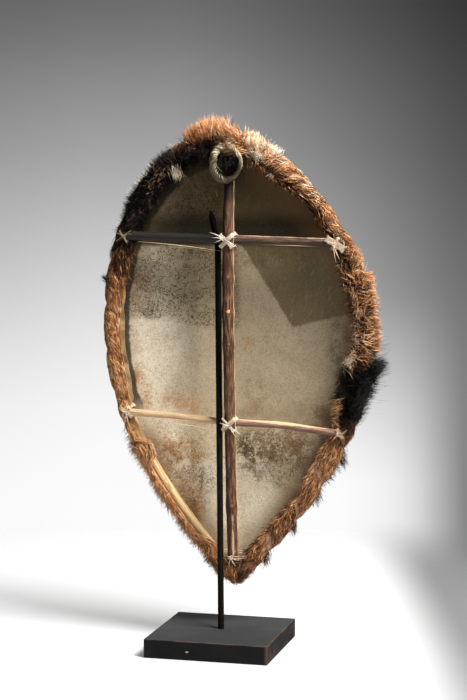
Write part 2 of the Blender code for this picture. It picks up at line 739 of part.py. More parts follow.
def make_tie(groups, shield, name, middle, back_stick, front_stick, ease, knot_shift, tails):
    """A lashing of two crossed turns round two sticks; each stick is (radius, angle, outer depth)."""
    low, high = sorted((back_stick[1] % math.pi, front_stick[1] % math.pi))
    meshes = []
    for turn in (0.0, math.pi / 2):
        angle = (low + high) / 2 + turn
        back = (half_extent(back_stick[0], back_stick[1], angle), back_stick[2])
        front = (half_extent(front_stick[0], front_stick[1], angle), front_stick[2])
        points = turn_points(middle, angle, back, front, ease)
        meshes.append(tube_mesh(f"{name} turn {turn:.1f}", points, THONG_RADIUS, cyclic=True))
    depth = front_stick[2] - THONG_SLACK - KNOT_RADIUS
    at = Vector((middle.x + knot_shift[0], depth, middle.z + knot_shift[1]))
    meshes += tied_ends(name, at, tails)
    joined(name, meshes, groups, "thong", shield)


def make_cross_lashings(groups, shield):
    """The ties where the upright passes over each bar."""
    knot_shifts = {"upper": (-0.004, 0.004), "lower": (0.003, -0.002)}
    for name, knot_shift in knot_shifts.items():
        height, tilt, radius, depth = BARS[name]
        middle = bar_middle(name)
        front = UPRIGHT.front(height, STICK_WIDTH)
        make_tie(
            groups,
            shield,
            f"{name}_cross_lashing",
            middle,
            (radius, tilt, depth + radius),
            (STICK_WIDTH / 2, UPRIGHT.tilt(), front),
            CROSS_TIE_EASE,
            knot_shift,
            TAILS[f"{name}_cross"],
        )


def make_end_lashings(groups, shield):
    """The ties where each end of each bar lies on the hoop."""
    for name, (_, tilt, radius, depth) in BARS.items():
        for side, word in ((-1, "left"), (1, "right")):
            end, length = bar_end(name, side)
            along = HOOP.at(length)[1]
            hoop_angle = math.atan2(along.z, along.x)
            make_tie(
                groups,
                shield,
                f"{name}_{word}_lashing",
                end - HOOP.outward(length) * HOOP_TIE_INWARD,
                (HOOP_RADIUS, hoop_angle, HOOP_RADIUS),
                (radius, tilt, depth - radius),
                HOOP_TIE_EASE,
                (-side * KNOT_RADIUS / 2, 0.0),
                TAILS[f"{name}_{word}"],
            )


def make_foot_lashing(groups, shield):
    """Two turns round the upright's foot and both legs of the hoop."""
    meshes = []
    reach = THONG_SLACK + THONG_RADIUS
    for i, rise in enumerate((-FOOT_TURN_SPACING / 2, FOOT_TURN_SPACING / 2)):
        height = foot_tie_height() + rise
        front = UPRIGHT.front(height, THONG_REACH) - reach
        half = STICK_WIDTH / 2 + reach
        right, left = (
            HOOP.at(HOOP.length_at(side, height))[0].x + side * HOOP_RADIUS / math.sin(HOOP_FOOT_ANGLE[k])
            for k, side in enumerate((1, -1))
        )
        middle = UPRIGHT.across(height)
        line = (
            (middle - half * 0.7, front),
            (middle + half * 0.7, front),
            (middle + half, front + 0.003),
            (right, -(HOOP_RADIUS + reach)),
            (right + reach, -HOOP_RADIUS * 0.6),
            (right + reach, HOOP_RADIUS * 0.6),
            (right, HOOP_RADIUS + reach),
            (left, HOOP_RADIUS + reach),
            (left - reach, HOOP_RADIUS * 0.6),
            (left - reach, -HOOP_RADIUS * 0.6),
            (left, -(HOOP_RADIUS + reach)),
            (middle - half, front + 0.003),
        )
        points = [Vector((x, y, height)) for x, y in line]
        meshes.append(tube_mesh(f"foot turn {i}", points, THONG_RADIUS, cyclic=True))
    front = UPRIGHT.front(foot_tie_height(), THONG_REACH + KNOT_RADIUS)
    depth = front - THONG_SLACK - KNOT_RADIUS
    at = Vector((UPRIGHT.across(foot_tie_height()), depth, foot_tie_height()))
    meshes += tied_ends("foot_lashing", at, TAILS["foot"])
    joined("foot_lashing", meshes, groups, "thong", shield)


def make_carrying_loop(groups, shield):
    """A ring of hide on the upright's top, tied round it and the hoop's crown."""
    crown_length = HOOP.over_crown(STICK_TOP_ASIDE)
    at, along = HOOP.at(crown_length)
    tied_at = at - HOOP.outward(crown_length) * CROWN_TIE_INWARD
    hoop_angle = math.atan2(along.z, along.x)
    front = UPRIGHT.front(at.z, 2 * HOOP_RADIUS)
    meshes = []
    for turn in (0.0, math.pi / 2):
        angle = (hoop_angle + UPRIGHT.tilt()) / 2 + turn
        back = (half_extent(HOOP_RADIUS, hoop_angle, angle), HOOP_RADIUS)
        over = (half_extent(STICK_TOP_WIDTH / 2, UPRIGHT.tilt(), angle), front)
        points = turn_points(tied_at, angle, back, over, CROWN_TIE_EASE)
        meshes.append(tube_mesh(f"crown turn {turn:.1f}", points, THONG_RADIUS, cyclic=True))
    bulk = (LOOP_THIN + LOOP_THICK) / 2
    rise = LOOP_HEIGHT / 2 - bulk
    middle_height = HOOP_CROWN_HEIGHT - LOOP_BELOW_CROWN
    below = UPRIGHT.front(middle_height - rise, 2 * bulk) - bulk - SEAT_GAP
    above = min(front, -BINDING_PROUD) - bulk - SEAT_GAP
    middle = Vector((at.x + LOOP_ASIDE, (below + above) / 2, middle_height))
    tilt = math.atan2((above - below) / 2, rise)
    points, radii = [], []
    for i in range(LOOP_POINTS):
        angle = math.tau * i / LOOP_POINTS
        radius = blend(LOOP_THIN, LOOP_THICK, (1 - math.cos(angle)) / 2)
        up = rise * math.sin(angle)
        sideways = (LOOP_WIDTH / 2 - radius) * math.cos(angle)
        points.append(middle + Vector((sideways, up * math.tan(tilt), up)))
        radii.append(radius)
    ring = tube_mesh("loop ring", points, LOOP_THICK, cyclic=True, radii=radii, sides_resolution=2)
    reach = (front - THONG_SLACK - above) / 2
    knot_height = (at.z + middle_height + rise) / 2
    knot = knot_mesh("crown knot", Vector((at.x, above + reach, knot_height)), reach)
    joined("carrying_loop", [ring, knot, *meshes], groups, "thong", shield)


def main():
    clear_scene()
    groups = {"shield": new_collection("hide_shield"), "cutters": new_collection("cutters")}
    place, lean = hang_pose()
    shield = bpy.data.objects.new("shield hanging", None)
    groups["shield"].objects.link(shield)
    shield.location = place
    shield.rotation_euler = (lean, 0, 0)
    make_block(groups)
    make_rod(groups, place, lean)
    make_hoop(groups, shield)
    make_hide(groups, shield)
    make_bar(groups, shield, "upper", "dark bark")
    make_bar(groups, shield, "lower", "brown bark")
    make_stick(groups, shield)
    make_binding(groups, shield)
    make_cross_lashings(groups, shield)
    make_end_lashings(groups, shield)
    make_foot_lashing(groups, shield)
    make_carrying_loop(groups, shield)


if __name__ == "__main__":
    main()
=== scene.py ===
"""A hide shield seen from its holder's side, hung on a bent rod that stands in a square block.

Everything is in metres. The shield's pieces are laid out in its own frame, where X runs across it, Y from the
holder towards the front and Z up from its foot, with the hoop's centre line in the plane Y = 0, and are then
moved to where the shield hangs.
"""

import logging
import math
from dataclasses import dataclass, field
from enum import Enum

import bpy
import numpy as np
from mathutils import Matrix, Vector, noise
from mathutils.geometry import interpolate_bezier


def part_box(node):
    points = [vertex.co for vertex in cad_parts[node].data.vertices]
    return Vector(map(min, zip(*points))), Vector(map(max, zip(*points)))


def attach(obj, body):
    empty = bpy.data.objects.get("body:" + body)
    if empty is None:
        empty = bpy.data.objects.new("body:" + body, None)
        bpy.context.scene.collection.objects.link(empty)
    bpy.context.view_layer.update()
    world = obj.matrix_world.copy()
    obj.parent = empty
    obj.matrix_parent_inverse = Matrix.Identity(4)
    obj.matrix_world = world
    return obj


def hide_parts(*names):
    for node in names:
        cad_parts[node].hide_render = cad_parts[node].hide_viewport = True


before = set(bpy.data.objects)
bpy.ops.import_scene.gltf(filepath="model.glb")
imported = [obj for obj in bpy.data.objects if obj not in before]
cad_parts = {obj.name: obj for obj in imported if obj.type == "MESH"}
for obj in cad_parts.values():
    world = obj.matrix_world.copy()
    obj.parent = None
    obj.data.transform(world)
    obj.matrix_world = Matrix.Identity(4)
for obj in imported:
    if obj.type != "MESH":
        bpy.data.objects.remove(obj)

log = logging.getLogger("hide shield")

Pair = tuple[float, float]
Pairs = tuple[Pair, ...]
Triple = tuple[float, float, float]
Colour = Triple
Numbers = np.ndarray | float
Socket = bpy.types.NodeSocket
Piece = bpy.types.Object
Material = bpy.types.Material

WELD = 0.000002
CREASE = math.radians(50)
GAP = 0.0003
DEPTH = np.array((0, 1, 0))
HOOP_RADIUS = 0.007
UPPER_BAR_HEIGHT = 0.5595
LOWER_BAR_HEIGHT = 0.2655
FOOT_TIE_HEIGHT = 0.044


# Number helpers


def smooth(value: Numbers, start: float, end: float) -> np.ndarray:
    """0 before start, 1 after end, and a smooth rise between them."""
    share = np.clip((np.asarray(value, float) - start) / (end - start), 0, 1)
    return share * share * (3 - 2 * share)


def blend(low: Numbers, high: Numbers, share: Numbers) -> np.ndarray:
    """The value at this share of the way from low to high."""
    return low + (high - low) * share


def unit(vectors: np.ndarray) -> np.ndarray:
    """The vectors along the last axis, each made one long."""
    return vectors / np.maximum(np.linalg.norm(vectors, axis=-1, keepdims=True), 1e-12)


def together(*numbers: Numbers) -> np.ndarray:
    """The numbers side by side along a new last axis, each spread to one shape."""
    return np.stack(np.broadcast_arrays(*numbers), axis=-1)


def measured(path: np.ndarray) -> np.ndarray:
    """How far along a broken line each of its points is."""
    return np.concatenate([[0], np.cumsum(np.linalg.norm(np.diff(path, axis=0), axis=1))])


def traced(at: np.ndarray, places: np.ndarray, table: np.ndarray) -> np.ndarray:
    """The table's row at each place, worked out between its rows."""
    return np.stack([np.interp(at, places, column) for column in table.T], axis=-1)


def scattered(mark: np.ndarray, size: float, factors: tuple[float, ...]) -> list[np.ndarray]:
    """Numbers from -0.5 to 0.5 that look random but stay the same for a mark, one table for each factor."""
    return [np.modf(np.abs(np.sin(mark * factor) * size))[0] - 0.5 for factor in factors]


def lumps(points: np.ndarray, scale: float, shift: float = 0.0) -> np.ndarray:
    """Soft noise from -1 to 1 at each point.

    Args:
        points: Places, with X, Y and Z along the last axis.
        scale: Lumps for each metre.
        shift: Moves the pattern, so that two calls differ.

    Returns:
        One number for each place.
    """
    flat = points.reshape(-1, 3) * scale + shift
    return np.array([noise.noise(place) for place in flat]).reshape(points.shape[:-1])


def through(knots: Pairs, at: np.ndarray) -> np.ndarray:
    """A smooth curve through (place, value) knots, read at many places.

    Args:
        knots: Places and values, in order of place.
        at: Where to read the curve.

    Returns:
        The value at each place.
    """
    place, value = np.array(knots).T
    slope = np.gradient(value, place)
    i = np.clip(np.searchsorted(place, at) - 1, 0, len(place) - 2)
    span = place[i + 1] - place[i]
    share = np.clip((at - place[i]) / span, 0, 1)
    square, cube = share**2, share**3
    return (
        (2 * cube - 3 * square + 1) * value[i]
        + (cube - 2 * square + share) * slope[i] * span
        + (3 * square - 2 * cube) * value[i + 1]
        + (cube - square) * slope[i + 1] * span
    )


# The shield's frame


class Side(Enum):
    """A side of the shield, as its holder sees it."""

    LEFT = -1
    RIGHT = 1


@dataclass(frozen=True)
class Hanging:
    """Where the shield hangs, and its lean towards the holder."""

    place: Triple = (0.0134, 0.0433991, 0.1026)
    lean: float = math.radians(6.1878)

    def turn(self) -> np.ndarray:
        """The rotation from the shield's frame to the world."""
        return np.array(Matrix.Rotation(self.lean, 3, "X"))

    def world(self, points: np.ndarray) -> np.ndarray:
        """The points of the shield's frame, where they are in the world."""
        return points @ self.turn().T + np.array(self.place)


HANGING = Hanging()


@dataclass
class RimLine:
    """The hoop's closed centre line, from its foot up the right side, over the crown and down the left side.

    A place on it is its length from the foot. Past the whole length comes a short fan, where the line stands
    still at the foot and only the outward direction turns, so that a skin can go round the point.
    """

    foot_height: float = 0.009
    crown: Pair = (0.004, 0.712)
    crown_spread: Pair = (0.068, 0.117)
    half_width: Pair = (0.217, 0.191)
    widest_height: Pair = (0.415, 0.401)
    fullness_below: Pair = (0.146, 0.145)
    fullness_above: Pair = (0.150, 0.164)
    foot_spread: Pair = (0.192, 0.177)
    foot_angle: Pair = (math.radians(45.7), math.radians(50.4))
    dense: int = 400
    fan: float = 0.022
    spacing: float = 0.001
    off_middle: float = 0.05
    leg_gap: float = 0.0012

    def __post_init__(self) -> None:
        """Works out the line's points and outward directions at even spacing."""
        foot = Vector((0, 0, self.foot_height))
        crown = Vector((self.crown[0], 0, self.crown[1]))
        right = Vector((self.half_width[0], 0, self.widest_height[0]))
        left = Vector((-self.half_width[1], 0, self.widest_height[1]))
        rise_right, rise_left = (Vector((math.cos(a), 0, math.sin(a))) for a in self.foot_angle)
        leave = foot + rise_right * self.foot_spread[0]
        arrive = foot + Vector((-rise_left.x, 0, rise_left.z)) * self.foot_spread[1]
        up = Vector((0, 0, 1))
        pieces = (
            (foot, leave, right - up * self.fullness_below[0], right),
            (right, right + up * self.fullness_above[0], crown + Vector((self.crown_spread[0], 0, 0)), crown),
            (crown, crown - Vector((self.crown_spread[1], 0, 0)), left + up * self.fullness_above[1], left),
            (left, left - up * self.fullness_below[1], arrive, foot),
        )
        points: list[Vector] = []
        for piece in pieces:
            points += interpolate_bezier(*piece, self.dense)[:-1]
        line = np.array([*points, foot])
        lengths = measured(line)
        self.total = float(lengths[-1])
        self.crown_length = float(lengths[2 * (self.dense - 1)])
        self.places = np.linspace(0, self.total, int(self.total / self.spacing) + 1)
        self.line = traced(self.places, lengths, line)
        travel = unit(np.gradient(self.line, axis=0))
        travel[0] = np.array(rise_right)
        travel[-1] = np.array((rise_left.x, 0, -rise_left.z))
        out = np.stack([travel[:, 2], np.zeros(len(travel)), -travel[:, 0]], axis=1)
        fan_shares = np.linspace(0, 1, 24)[1:]
        fan = unit(np.array([blend(out[-1], out[0], share) for share in fan_shares]))
        self.places = np.concatenate([self.places, self.total + self.fan * fan_shares])
        self.line = np.concatenate([self.line, np.repeat(self.line[-1:], len(fan), axis=0)])
        self.out = np.concatenate([out, fan])
        self.full = self.total + self.fan
        self.narrow = math.pi / 2 - math.acos(float(np.clip(out[0] @ out[-1], -1, 1))) / 2

    def read(self, table: np.ndarray, length: np.ndarray) -> np.ndarray:
        """The table's vector at each length."""
        return traced(np.mod(length, self.full), self.places, table)

    def point(self, length: Numbers) -> np.ndarray:
        """The point at each length."""
        return self.read(self.line, np.asarray(length, float))

    def outward(self, length: Numbers) -> np.ndarray:
        """The direction away from the shield's middle at each length."""
        return unit(self.read(self.out, np.asarray(length, float)))

    def height(self, length: Numbers) -> np.ndarray:
        """The height above the shield's foot at each length."""
        return self.point(length)[..., 2]

    def on_right(self, length: np.ndarray) -> np.ndarray:
        """Whether each length is on the right side."""
        return np.mod(length, self.full) < self.crown_length

    def lowest(self, off: np.ndarray) -> float:
        """The length of the point whose number is the lowest."""
        return float(self.places[int(np.argmin(off))])

    def length_at(self, side: Side, height: float) -> float:
        """The length where the line passes a height on one side."""
        on_line = self.places <= self.total
        on_side = (self.places < self.crown_length) == (side is Side.RIGHT)
        return self.lowest(np.where(on_line & on_side, np.abs(self.line[:, 2] - height), np.inf))

    def crossing(self, point: np.ndarray, tilt: float, side: Side) -> float:
        """The length where a straight bar through the point, tilted so, crosses the line on one side."""
        normal = np.array((-math.sin(tilt), 0, math.cos(tilt)))
        off = np.abs((self.line - point) @ normal)
        return self.lowest(np.where((self.line[:, 0] - point[0]) * side.value > self.off_middle, off, np.inf))

    def over_crown(self, across: float) -> float:
        """The length where the line passes this distance across the shield, at its crown."""
        high = self.line[:, 2] > self.widest_height[0]
        return self.lowest(np.where(high, np.abs(self.line[:, 0] - across), np.inf))

    def nearest(self, place: Pair) -> float:
        """The length where the line passes nearest to a place given across and up."""
        return self.lowest(np.hypot(self.line[:, 0] - place[0], self.line[:, 2] - place[1]))

    def reach_limit(self, length: np.ndarray) -> np.ndarray:
        """How far inwards a skin may reach near the pointed foot before its two legs would cross."""
        from_foot = np.where(length > self.total, 0, np.minimum(length, self.total - length))
        return from_foot * math.tan(self.narrow) - self.leg_gap


RIM = RimLine()


# Shader nodes


class Reading:
    """A number that varies over a surface. Plain arithmetic on it adds the matching Math nodes."""

    def __init__(self, recipe: "Recipe", socket: Socket) -> None:
        """Wraps an output socket of the recipe's nodes."""
        self.recipe = recipe
        self.socket = socket

    def worked(self, operation: str, *values: "Reading | float") -> "Reading":
        """The result of a Math node on these values."""
        made = self.recipe.node("ShaderNodeMath", {"operation": operation}, dict(enumerate(values)))
        return Reading(self.recipe, made.outputs[0])

    def __add__(self, other: "Reading | float") -> "Reading":
        """This plus the other."""
        return self.worked("ADD", self, other)

    __radd__ = __add__

    def __mul__(self, other: "Reading | float") -> "Reading":
        """This times the other."""
        return self.worked("MULTIPLY", self, other)

    __rmul__ = __mul__

    def __sub__(self, other: "Reading | float") -> "Reading":
        """This less the other."""
        return self.worked("SUBTRACT", self, other)

    def __rsub__(self, other: "Reading | float") -> "Reading":
        """The other less this."""
        return self.worked("SUBTRACT", other, self)

    def __truediv__(self, other: "Reading | float") -> "Reading":
        """This divided by the other."""
        return self.worked("DIVIDE", self, other)

    def __pow__(self, power: float) -> "Reading":
        """This raised to a power."""
        return self.worked("POWER", self, power)

    def size(self) -> "Reading":
        """Its distance from zero."""
        return self.worked("ABSOLUTE", self)

    def wave(self) -> "Reading":
        """Its sine."""
        return self.worked("SINE", self)

    def least(self, other: "Reading | float") -> "Reading":
        """The lower of the two."""
        return self.worked("MINIMUM", self, other)

    def most(self, other: "Reading | float") -> "Reading":
        """The higher of the two."""
        return self.worked("MAXIMUM", self, other)

    def rise(self, start: float, end: float) -> "Reading":
        """0 before start, 1 after end and a smooth rise between; falling where end is the lower one."""
        low, high, flip = (start, end, False) if start < end else (end, start, True)
        settings = {"interpolation_type": "SMOOTHSTEP"}
        sockets = {"Value": self, "From Min": low, "From Max": high}
        made = self.recipe.node("ShaderNodeMapRange", settings, sockets)
        risen = Reading(self.recipe, made.outputs[0])
        return 1 - risen if flip else risen


Link = Reading | Socket


class Nodes:
    """A shader's node tree, and how its nodes are added, set and linked."""

    def __init__(self, tree: bpy.types.NodeTree) -> None:
        """Starts the tree empty."""
        self.nodes, self.links = tree.nodes, tree.links
        self.nodes.clear()

    def give(self, socket: Socket, value: "Link | float | tuple") -> None:
        """Sets a socket, or links it."""
        if isinstance(value, Reading):
            value = value.socket
        if isinstance(value, Socket):
            self.links.new(value, socket)
        elif isinstance(value, tuple) and socket.type == "RGBA" and len(value) == 3:
            socket.default_value = (*value, 1)
        else:
            socket.default_value = value

    def node(self, kind: str, settings: dict | None = None, sockets: dict | None = None) -> bpy.types.Node:
        """A node of this kind.

        Args:
            kind: The node's type.
            settings: Its settings, set first. "stops" holds a ramp's (place, colour) pairs.
            sockets: Values or links of its inputs, by name or number.

        Returns:
            The node.
        """
        made = self.nodes.new(kind)
        for key, value in (settings or {}).items():
            if key == "stops":
                stops = made.color_ramp.elements
                while len(stops) < len(value):
                    stops.new(1.0)
                for stop, (place, colour) in zip(stops, value):
                    stop.position = place
                    stop.color = (*colour, 1)
            else:
                setattr(made, key, value)
        for key, value in (sockets or {}).items():
            self.give(made.inputs[key], value)
        return made


class Recipe(Nodes):
    """A material under way, and the shortcuts that the finishes share."""

    def __init__(self, name: str) -> None:
        """Starts a material with a Principled shader alone."""
        self.material = bpy.data.materials.new(name)
        self.material.use_nodes = True
        super().__init__(self.material.node_tree)
        self.shader = self.node("ShaderNodeBsdfPrincipled")
        self.node("ShaderNodeOutputMaterial", {}, {0: self.shader.outputs[0]})

    def place(self) -> Socket:
        """Where a point of the surface is, in the world's axes."""
        return self.node("ShaderNodeTexCoord").outputs["Object"]

    def shield_place(self) -> Socket:
        """Where a point of the surface is, in the shield's own frame."""
        turn = Matrix.Rotation(-HANGING.lean, 3, "X")
        shift = -(turn @ Vector(HANGING.place))
        sockets = {"Vector": self.place(), "Location": tuple(shift), "Rotation": (-HANGING.lean, 0, 0)}
        return self.node("ShaderNodeMapping", {}, sockets).outputs[0]

    def stretched(self, place: Socket, scale: Colour, turn: float = 0.0) -> Socket:
        """The place scaled along each axis, after a turn about Y."""
        turned = self.node("ShaderNodeMapping", {}, {"Vector": place, "Rotation": (0, turn, 0)}).outputs[0]
        return self.node("ShaderNodeMapping", {}, {"Vector": turned, "Scale": scale}).outputs[0]

    def parts(self, vector: Socket) -> tuple[Reading, Reading, Reading]:
        """The X, Y and Z of a vector."""
        made = self.node("ShaderNodeSeparateXYZ", {}, {0: vector})
        return tuple(Reading(self, socket) for socket in made.outputs)

    def vector(self, x: Reading | float, y: Reading | float, z: Reading | float) -> Socket:
        """A vector of three numbers."""
        return self.node("ShaderNodeCombineXYZ", {}, {0: x, 1: y, 2: z}).outputs[0]

    def uv(self) -> tuple[Reading, Reading]:
        """The two numbers of the piece's own UV map."""
        made = self.parts(self.node("ShaderNodeUVMap", {"uv_map": "UVMap"}).outputs[0])
        return made[0], made[1]

    def rolled(self, radius: float) -> Socket:
        """A place on a swept piece, with its length as Z and no step at its seam."""
        around, along = self.uv()
        turn = around * math.tau
        return self.vector(turn.wave() * radius, (turn + math.pi / 2).wave() * radius, along)

    def noise(
        self,
        at: Socket,
        scale: float,
        detail: float = 4.0,
        roughness: float = 0.55,
        distortion: float = 0.0,
    ) -> Reading:
        """Noise from 0 to 1 at this scale."""
        sockets = {"Vector": at, "Scale": scale, "Detail": detail, "Roughness": roughness, "Distortion": distortion}
        return Reading(self, self.node("ShaderNodeTexNoise", {}, sockets).outputs[0])

    def wood(self, radius: float, *looks: Triple) -> list[Reading]:
        """The grain, fibre and patches of a stick, each from its stretch along it, its scale and its roughness."""
        place, made = self.rolled(radius), []
        for (stretch, scale, roughness), detail in zip(looks, (4, 3, 5)):
            made.append(self.noise(self.stretched(place, (1, 1, stretch)), scale, detail, roughness))
        return made

    def mix(self, share: Reading | float, low: "Link | Colour", high: "Link | Colour") -> Socket:
        """A colour between two."""
        made = self.node("ShaderNodeMix", {"data_type": "RGBA"}, {0: share, 6: low, 7: high})
        return made.outputs[2]

    def shaded(self, colour: "Link | Colour", share: Reading) -> Socket:
        """The colour times a number."""
        grey = self.node("ShaderNodeCombineColor", {}, {0: share, 1: share, 2: share}).outputs[0]
        settings = {"data_type": "RGBA", "blend_type": "MULTIPLY"}
        return self.node("ShaderNodeMix", settings, {0: 1.0, 6: colour, 7: grey}).outputs[2]

    def ramp(self, share: Reading, stops: tuple[tuple[float, Colour], ...]) -> Socket:
        """The colour of a ramp at this number."""
        return self.node("ShaderNodeValToRGB", {"stops": stops}, {0: share}).outputs[0]

    def done(
        self,
        colour: "Link | Colour",
        roughness: "Link | float",
        height: Reading | None = None,
        relief: float = 0.0005,
        **uniform: float,
    ) -> Material:
        """Feeds the shader and ends the recipe.

        Args:
            colour: The base colour.
            roughness: The roughness.
            height: A bump's height from 0 to 1, or None for none.
            relief: How many metres a height of 1 stands for.
            **uniform: Sockets of the shader that are the same all over, with _ for a space.

        Returns:
            The material.
        """
        self.give(self.shader.inputs["Base Color"], colour)
        self.give(self.shader.inputs["Roughness"], roughness)
        for name, value in uniform.items():
            self.give(self.shader.inputs[name.replace("_", " ")], value)
        if height is not None:
            bump = self.node("ShaderNodeBump", {}, {"Height": height, "Distance": relief, "Strength": 1.0})
            self.give(self.shader.inputs["Normal"], bump.outputs[0])
        return self.material


# Finishes


HAIR_TONES: tuple[tuple[float, Colour], ...] = (
    (0.00, (0.002, 0.0018, 0.0015)),
    (0.14, (0.012, 0.007, 0.004)),
    (0.26, (0.080, 0.040, 0.020)),
    (0.40, (0.31, 0.130, 0.055)),
    (0.52, (0.66, 0.25, 0.080)),
    (0.68, (0.88, 0.46, 0.18)),
    (0.84, (0.95, 0.76, 0.52)),
    (1.00, (0.96, 0.92, 0.85)),
)


@dataclass(frozen=True)
class HairFinish:
    """Cattle hair: its tone is the UV's first number, and its place along the strand the second."""

    name: str = "cattle hair"
    root_shade: float = 0.36
    roughness: float = 0.42

    def made(self) -> Material:
        """The material."""
        recipe = Recipe(self.name)
        tone, along = recipe.uv()
        fleck = recipe.noise(recipe.place(), 900, 2)
        colour = recipe.ramp(tone + (fleck - 0.5) * 0.10, HAIR_TONES)
        colour = recipe.shaded(colour, along.rise(0, 0.5) * (1 - self.root_shade) + self.root_shade)
        return recipe.done(colour, self.roughness, Specular_IOR_Level=0.24)


@dataclass(frozen=True)
class HairySkinFinish:
    """The hide under the hair: the UV holds the hair's tone and how bare the skin is."""

    name: str = "hairy skin"
    skin: Colour = (0.46, 0.29, 0.14)
    pink: Colour = (0.70, 0.42, 0.28)
    cream: Colour = (0.78, 0.60, 0.38)

    def made(self) -> Material:
        """The material."""
        recipe = Recipe(self.name)
        tone, bare = recipe.uv()
        place = recipe.place()
        streak = recipe.noise(recipe.stretched(place, (1, 1, 0.35), math.radians(30)), 700, 3)
        hair = recipe.ramp(tone + (streak - 0.5) * 0.25, HAIR_TONES)
        hair = recipe.shaded(hair, streak * 0.5 + 0.45)
        patch = recipe.noise(place, 70, 3)
        x, _, z = recipe.parts(recipe.shield_place())
        skin = recipe.mix(z.rise(0.29, 0.25), self.skin, self.cream)
        skin = recipe.mix(x.rise(-0.01, 0.01), skin, self.pink)
        skin = recipe.mix(patch.rise(0.42, 0.66) * 0.7, skin, recipe.shaded(skin, streak * 0.8))
        ragged = (bare + (recipe.noise(place, 240, 3) - 0.5) * 0.6).rise(0.35, 0.6)
        return recipe.done(recipe.mix(ragged, hair, skin), 0.66, streak, 0.0008, Specular_IOR_Level=0.15)


